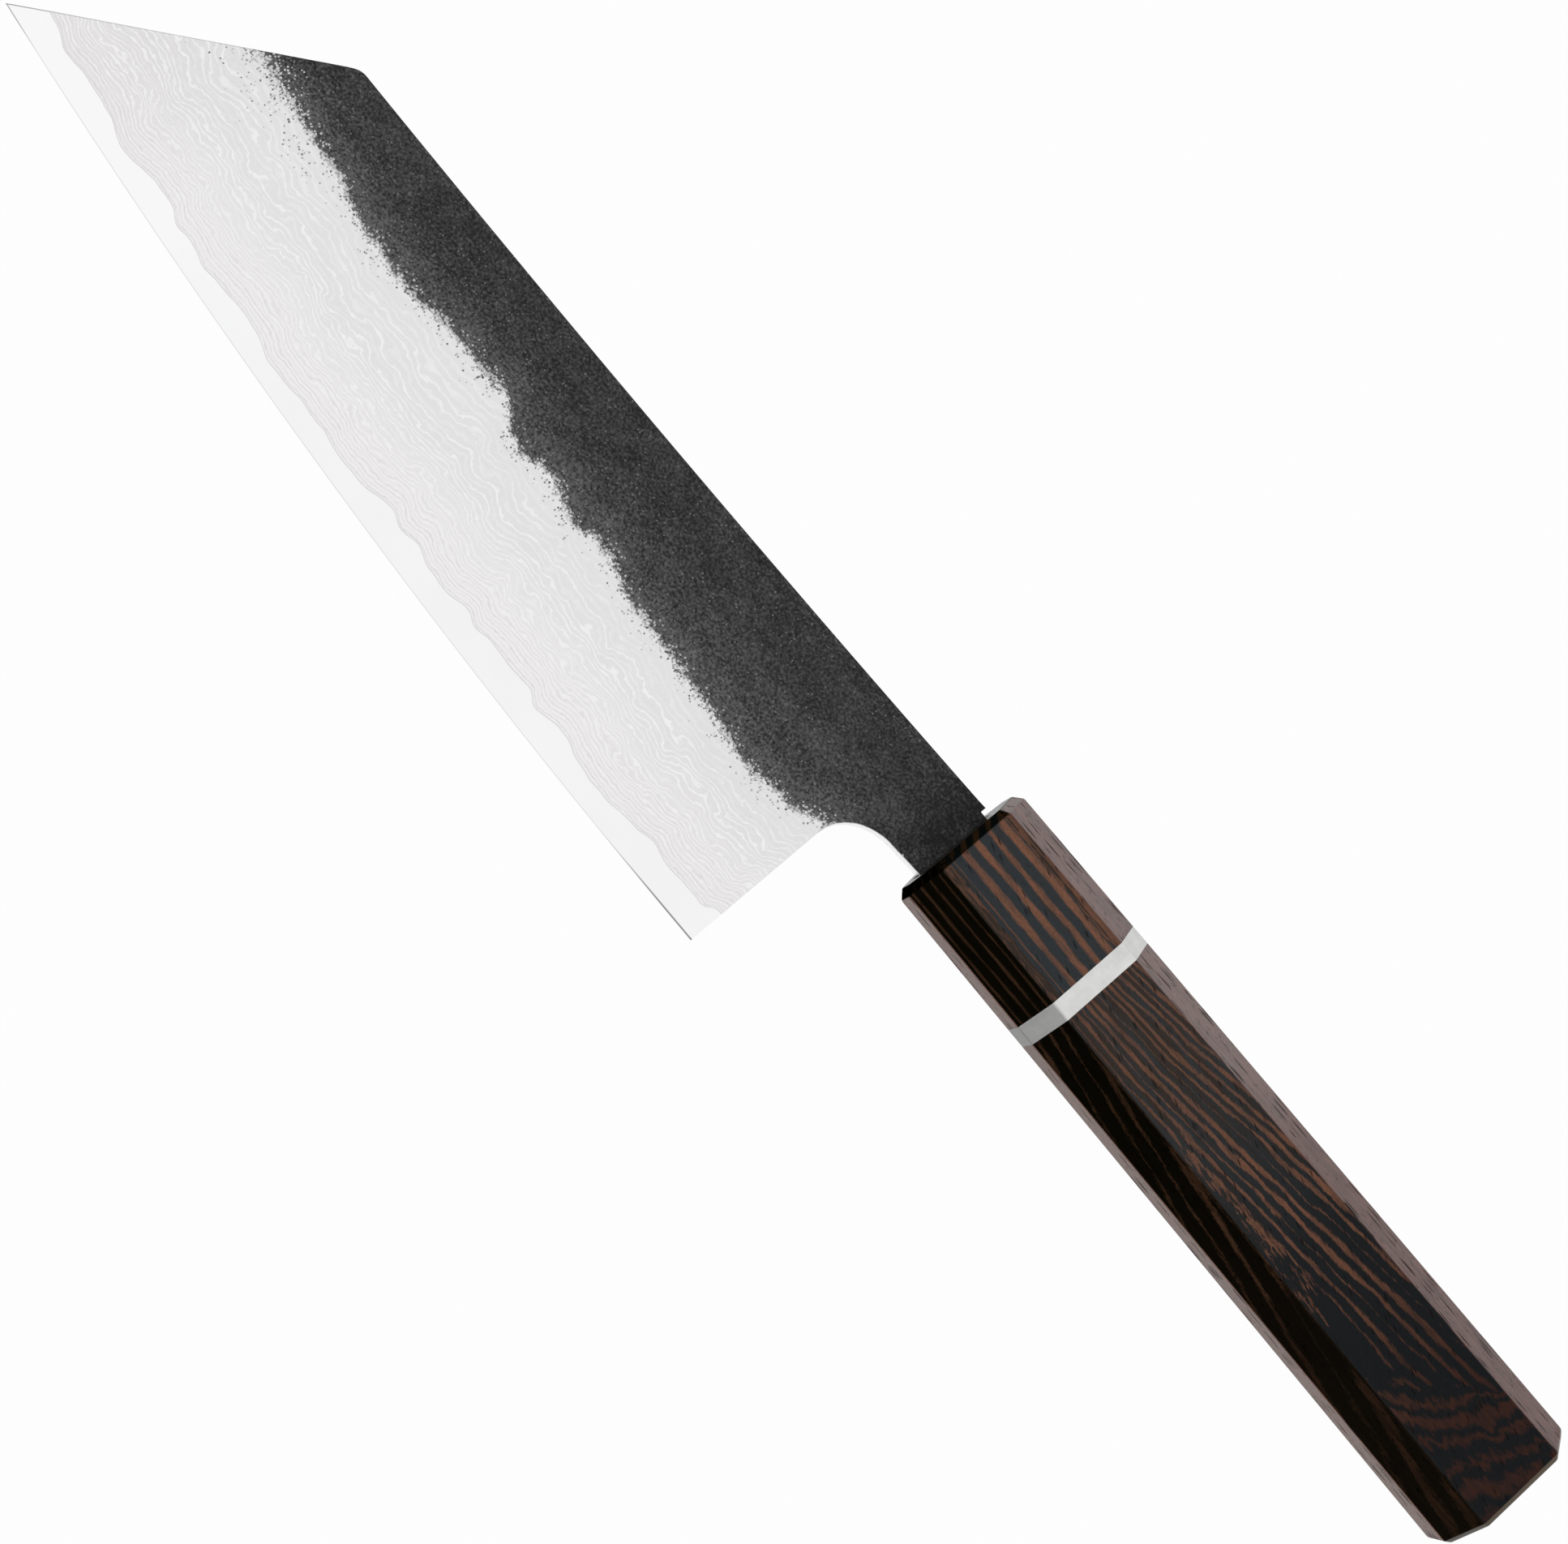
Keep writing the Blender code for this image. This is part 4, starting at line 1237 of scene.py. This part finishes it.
class StageLook(bpy.types.PropertyGroup):
    """Camera and light."""

    focal_length: FloatProperty(name="Focal length", description="Focal length of the camera in millimetres",
                                default=76.32, min=10, max=300)
    key_power: FloatProperty(name="Key light", description="Power of the large lamp on the spine's side",
                             default=36.0, min=0, max=200, unit="POWER")
    fill: FloatProperty(name="Fill light", description="Strength of the even light from all round",
                        default=0.06, min=0, max=2)


# Operators

class KNIFE_OT_core(bpy.types.Operator):
    """Build the hard core of the blade"""

    bl_idname = "knife.core"
    bl_label = "Core Steel"

    def execute(self, context):
        look = context.scene.knife_blade
        eases = {"tip": 0.05 * MM, "spine": 0.0, "notch": 0.0, "choil": 0.0, "heel": 0.05 * MM}
        outline = blade_outline(edge_y, eases)

        def inside(x, y):
            return x < HEEL_X and 1.1 * MM < y - edge_y(x) < 8 * MM and y < clip_y(x)

        count = round((HEEL_X - TIP_X) / EDGE_SPACING)
        xs = [lerp(TIP_X, HEEL_X, (i + 0.5) / count) for i in range(count)]
        bevel_line = [Vector((x, edge_y(x) + MICRO_BEVEL_HEIGHT)) for x in xs]
        inner = grid_points(edge_y, look.spacing, inside) + [p for p in bevel_line if p.y < clip_y(p.x)]
        mesh = plate_mesh("core_steel", outline, inner, core_height)
        set_attribute(mesh, "below_tip", below_tip)
        set_attribute(mesh, "above_edge", lambda x, y: (y - edge_y(x)) / MM if x < HEEL_X + 0.1 * MM else FAR)
        mesh.materials.append(core_material(look))
        core = add_object("core", mesh)
        weigh_normals(core)
        settle(core, "core_steel")
        return {"FINISHED"}


class KNIFE_OT_claddings(bpy.types.Operator):
    """Build the two layers of softer steel on the core"""

    bl_idname = "knife.claddings"
    bl_label = "Claddings"

    def execute(self, context):
        look = context.scene.knife_blade
        eases = {
            "tip": 0.12 * MM, "spine": look.spine_ease, "notch": 0.1 * MM, "choil": look.choil_ease,
            "heel": 0.12 * MM,
        }
        for name, side in (("left_cladding", 1), ("right_cladding", -1)):
            self.build(look, eases, name, side)
        return {"FINISHED"}

    def build(self, look, eases, name, side):
        """One cladding: side is 1 for the left face and -1 for the right one."""
        def low_line(x):
            return layer_y(x, side)

        def inside(x, y):
            ahead = x < HEEL_X - 0.4 * MM or y > -2 * NECK_UNDERSIDE
            return ahead and y < clip_y(x) - 0.8 * MM and y < spine_y(x) - 0.5 * MM

        outline = blade_outline(low_line, eases)
        grid = [p for p in grid_points(low_line, look.spacing, inside) if inside_outline(p, outline)]
        mesh = plate_mesh(
            name, outline, grid + inward_rings(outline),
            lambda x, y: cladding_height(x, y, side), CLADDING_INNER, side,
        )
        set_attribute(mesh, "below_tip", below_tip)
        set_attribute(mesh, "above_core", lambda x, y: (y - layer_y(x, side)) / MM)
        set_attribute(mesh, "above_scale", lambda x, y: (y - scale_y(x, side)) / MM)
        mesh.materials.append(cladding_material(name, look, 0.0 if side > 0 else 37.0))
        cladding = add_object(name + "_steel", mesh)
        weigh_normals(cladding)
        settle(cladding, name)


class KNIFE_OT_handle_wood(bpy.types.Operator):
    """Build the ferrule and the body of the handle"""

    bl_idname = "knife.handle_wood"
    bl_label = "Handle Wood"

    def execute(self, context):
        look = context.scene.knife_handle
        front_x, front_inset = -FRONT_BEVEL[0], FRONT_BEVEL[1]
        front = [(front_x, front_inset + END_RIM), (front_x, front_inset), (0.0, 0.0)]
        front += [(RING_X / 2, 0.0), (RING_X - JOINT, 0.0)]
        butt_x, butt_inset = HANDLE_LENGTH + BUTT_BEVEL[0], BUTT_BEVEL[1]
        rear = [(BODY_X, 0.0), (BODY_X + 30 * MM, 0.0), (BODY_X + 60 * MM, 0.0), (HANDLE_LENGTH, 0.0)]
        rear += [(butt_x, butt_inset), (butt_x, butt_inset + END_RIM)]
        ferrule = add_object("ferrule_wood", handle_mesh("ferrule_wood", front, look.ease))
        body = add_object("body_wood", handle_mesh("body_wood", rear, look.ease))
        mouth = box_cutter(
            (2 * front_x, BORE_START + 0.5 * MM),
            (-NECK_UNDERSIDE - MOUTH_WALL, TANG_TOP + MOUTH_WALL),
            NECK_THICKNESS / 2 + MOUTH_WALL,
        )
        cut(ferrule, [bore_cutter(), mouth])
        top, bottom = tang_edges(TANG_SHOULDER)
        slot = box_cutter(
            (BORE_START, SLOT_END), (bottom - SLOT_WALL, top + SLOT_WALL), NECK_THICKNESS / 2 + SLOT_WALL,
        )
        cut(body, [bore_cutter(), slot])
        for piece, node, material in (
            (ferrule, "ferrule", ferrule_material(look)),
            (body, "handle_body", body_material(look)),
        ):
            piece.data.materials.append(material)
            weigh_normals(piece)
            settle(piece, node)
        return {"FINISHED"}


class KNIFE_OT_spacer(bpy.types.Operator):
    """Build the white ring between the ferrule and the body"""

    bl_idname = "knife.spacer"
    bl_label = "Spacer Ring"

    def execute(self, context):
        look = context.scene.knife_handle
        profile = [(RING_X, 0.0), ((RING_X + BODY_X) / 2, 0.0), (BODY_X - JOINT, 0.0)]
        ring = add_object("white_ring", handle_mesh("white_ring", profile, look.ease))
        cut(ring, [bore_cutter()])
        ring.data.materials.append(spacer_material(look))
        weigh_normals(ring)
        settle(ring, "spacer_ring")
        return {"FINISHED"}


class KNIFE_OT_hidden_finish(bpy.types.Operator):
    """Finish the dowel and the tang bedding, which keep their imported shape"""

    bl_idname = "knife.hidden_finish"
    bl_label = "Dowel and Bedding"

    def execute(self, context):
        for node, material in (("dowel", dowel_material()), ("tang_bedding", bedding_material())):
            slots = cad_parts[node].data.materials
            slots.clear()
            slots.append(material)
        return {"FINISHED"}


class KNIFE_OT_stage(bpy.types.Operator):
    """Set up the floor, the lights and the camera"""

    bl_idname = "knife.stage"
    bl_label = "Stage"

    def execute(self, context):
        look = context.scene.knife_stage
        bm = bmesh.new()
        bmesh.ops.create_grid(bm, x_segments=1, y_segments=1, size=FLOOR_SIZE)
        mesh = plain_mesh("studio_floor", bm)
        mesh.materials.append(floor_material())
        floor = bpy.data.objects.new("studio_floor", mesh)
        context.scene.collection.objects.link(floor)
        self.light(context, look)
        self.camera(context, look)
        return {"FINISHED"}

    def light(self, context, look):
        """White surroundings that give little light, and a large lamp beyond the spine."""
        world = bpy.data.worlds.new("studio")
        context.scene.world = world
        world.use_nodes = True
        strength = between(in_view(world.node_tree), look.fill, 1.0)
        feed(world.node_tree.nodes["Background"], Color=(1, 1, 1, 1), Strength=strength)
        lamp = bpy.data.lights.new("spine_side_softbox", "AREA")
        lamp.shape = "RECTANGLE"
        lamp.size, lamp.size_y = SOFTBOX_SIZE
        lamp.energy = look.key_power
        softbox = bpy.data.objects.new("spine_side_softbox", lamp)
        context.scene.collection.objects.link(softbox)
        softbox.location = SOFTBOX_PLACE
        softbox.visible_glossy = False
        softbox.rotation_euler = (Vector((0, 0, 0)) - softbox.location).to_track_quat("-Z", "Y").to_euler()

    def camera(self, context, look):
        """The photo's camera, as fitted to the knife's outline."""
        data = bpy.data.cameras.new("photo_camera")
        data.lens = look.focal_length
        data.sensor_width = 36.0
        data.sensor_fit = "HORIZONTAL"
        camera = bpy.data.objects.new("photo_camera", data)
        context.scene.collection.objects.link(camera)
        turn = Matrix.Rotation(CAMERA_TILT, 4, "X") @ Matrix.Rotation(CAMERA_ROLL, 4, "Z")
        camera.matrix_world = Matrix.Translation(CAMERA_PLACE) @ turn
        context.scene.camera = camera


class KNIFE_PT_panel(bpy.types.Panel):
    """Sidebar panel with the knife's settings and its build steps"""

    bl_idname = "KNIFE_PT_panel"
    bl_label = "Bunka Knife"
    bl_space_type = "VIEW_3D"
    bl_region_type = "UI"
    bl_category = "Knife"

    def draw(self, context):
        for settings in (context.scene.knife_blade, context.scene.knife_handle, context.scene.knife_stage):
            box = self.layout.box()
            for name in settings.bl_rna.properties.keys():
                if name not in ("rna_type", "name"):
                    box.prop(settings, name)
        for operator in BUILD_ORDER:
            self.layout.operator(operator.bl_idname)


BUILD_ORDER = (
    KNIFE_OT_core,
    KNIFE_OT_claddings,
    KNIFE_OT_handle_wood,
    KNIFE_OT_spacer,
    KNIFE_OT_hidden_finish,
    KNIFE_OT_stage,
)
CLASSES = (BladeLook, HandleLook, StageLook, *BUILD_ORDER, KNIFE_PT_panel)


def register():
    for cls in CLASSES:
        bpy.utils.register_class(cls)
    bpy.types.Scene.knife_blade = PointerProperty(type=BladeLook)
    bpy.types.Scene.knife_handle = PointerProperty(type=HandleLook)
    bpy.types.Scene.knife_stage = PointerProperty(type=StageLook)


def unregister():
    del bpy.types.Scene.knife_stage
    del bpy.types.Scene.knife_handle
    del bpy.types.Scene.knife_blade
    for cls in reversed(CLASSES):
        bpy.utils.unregister_class(cls)


def main():
    register()
    bpy.context.scene.view_settings.view_transform = "Standard"
    bpy.ops.knife.core()
    bpy.ops.knife.claddings()
    bpy.ops.knife.handle_wood()
    bpy.ops.knife.spacer()
    bpy.ops.knife.hidden_finish()
    bpy.ops.knife.stage()


if __name__ == "__main__":
    main()
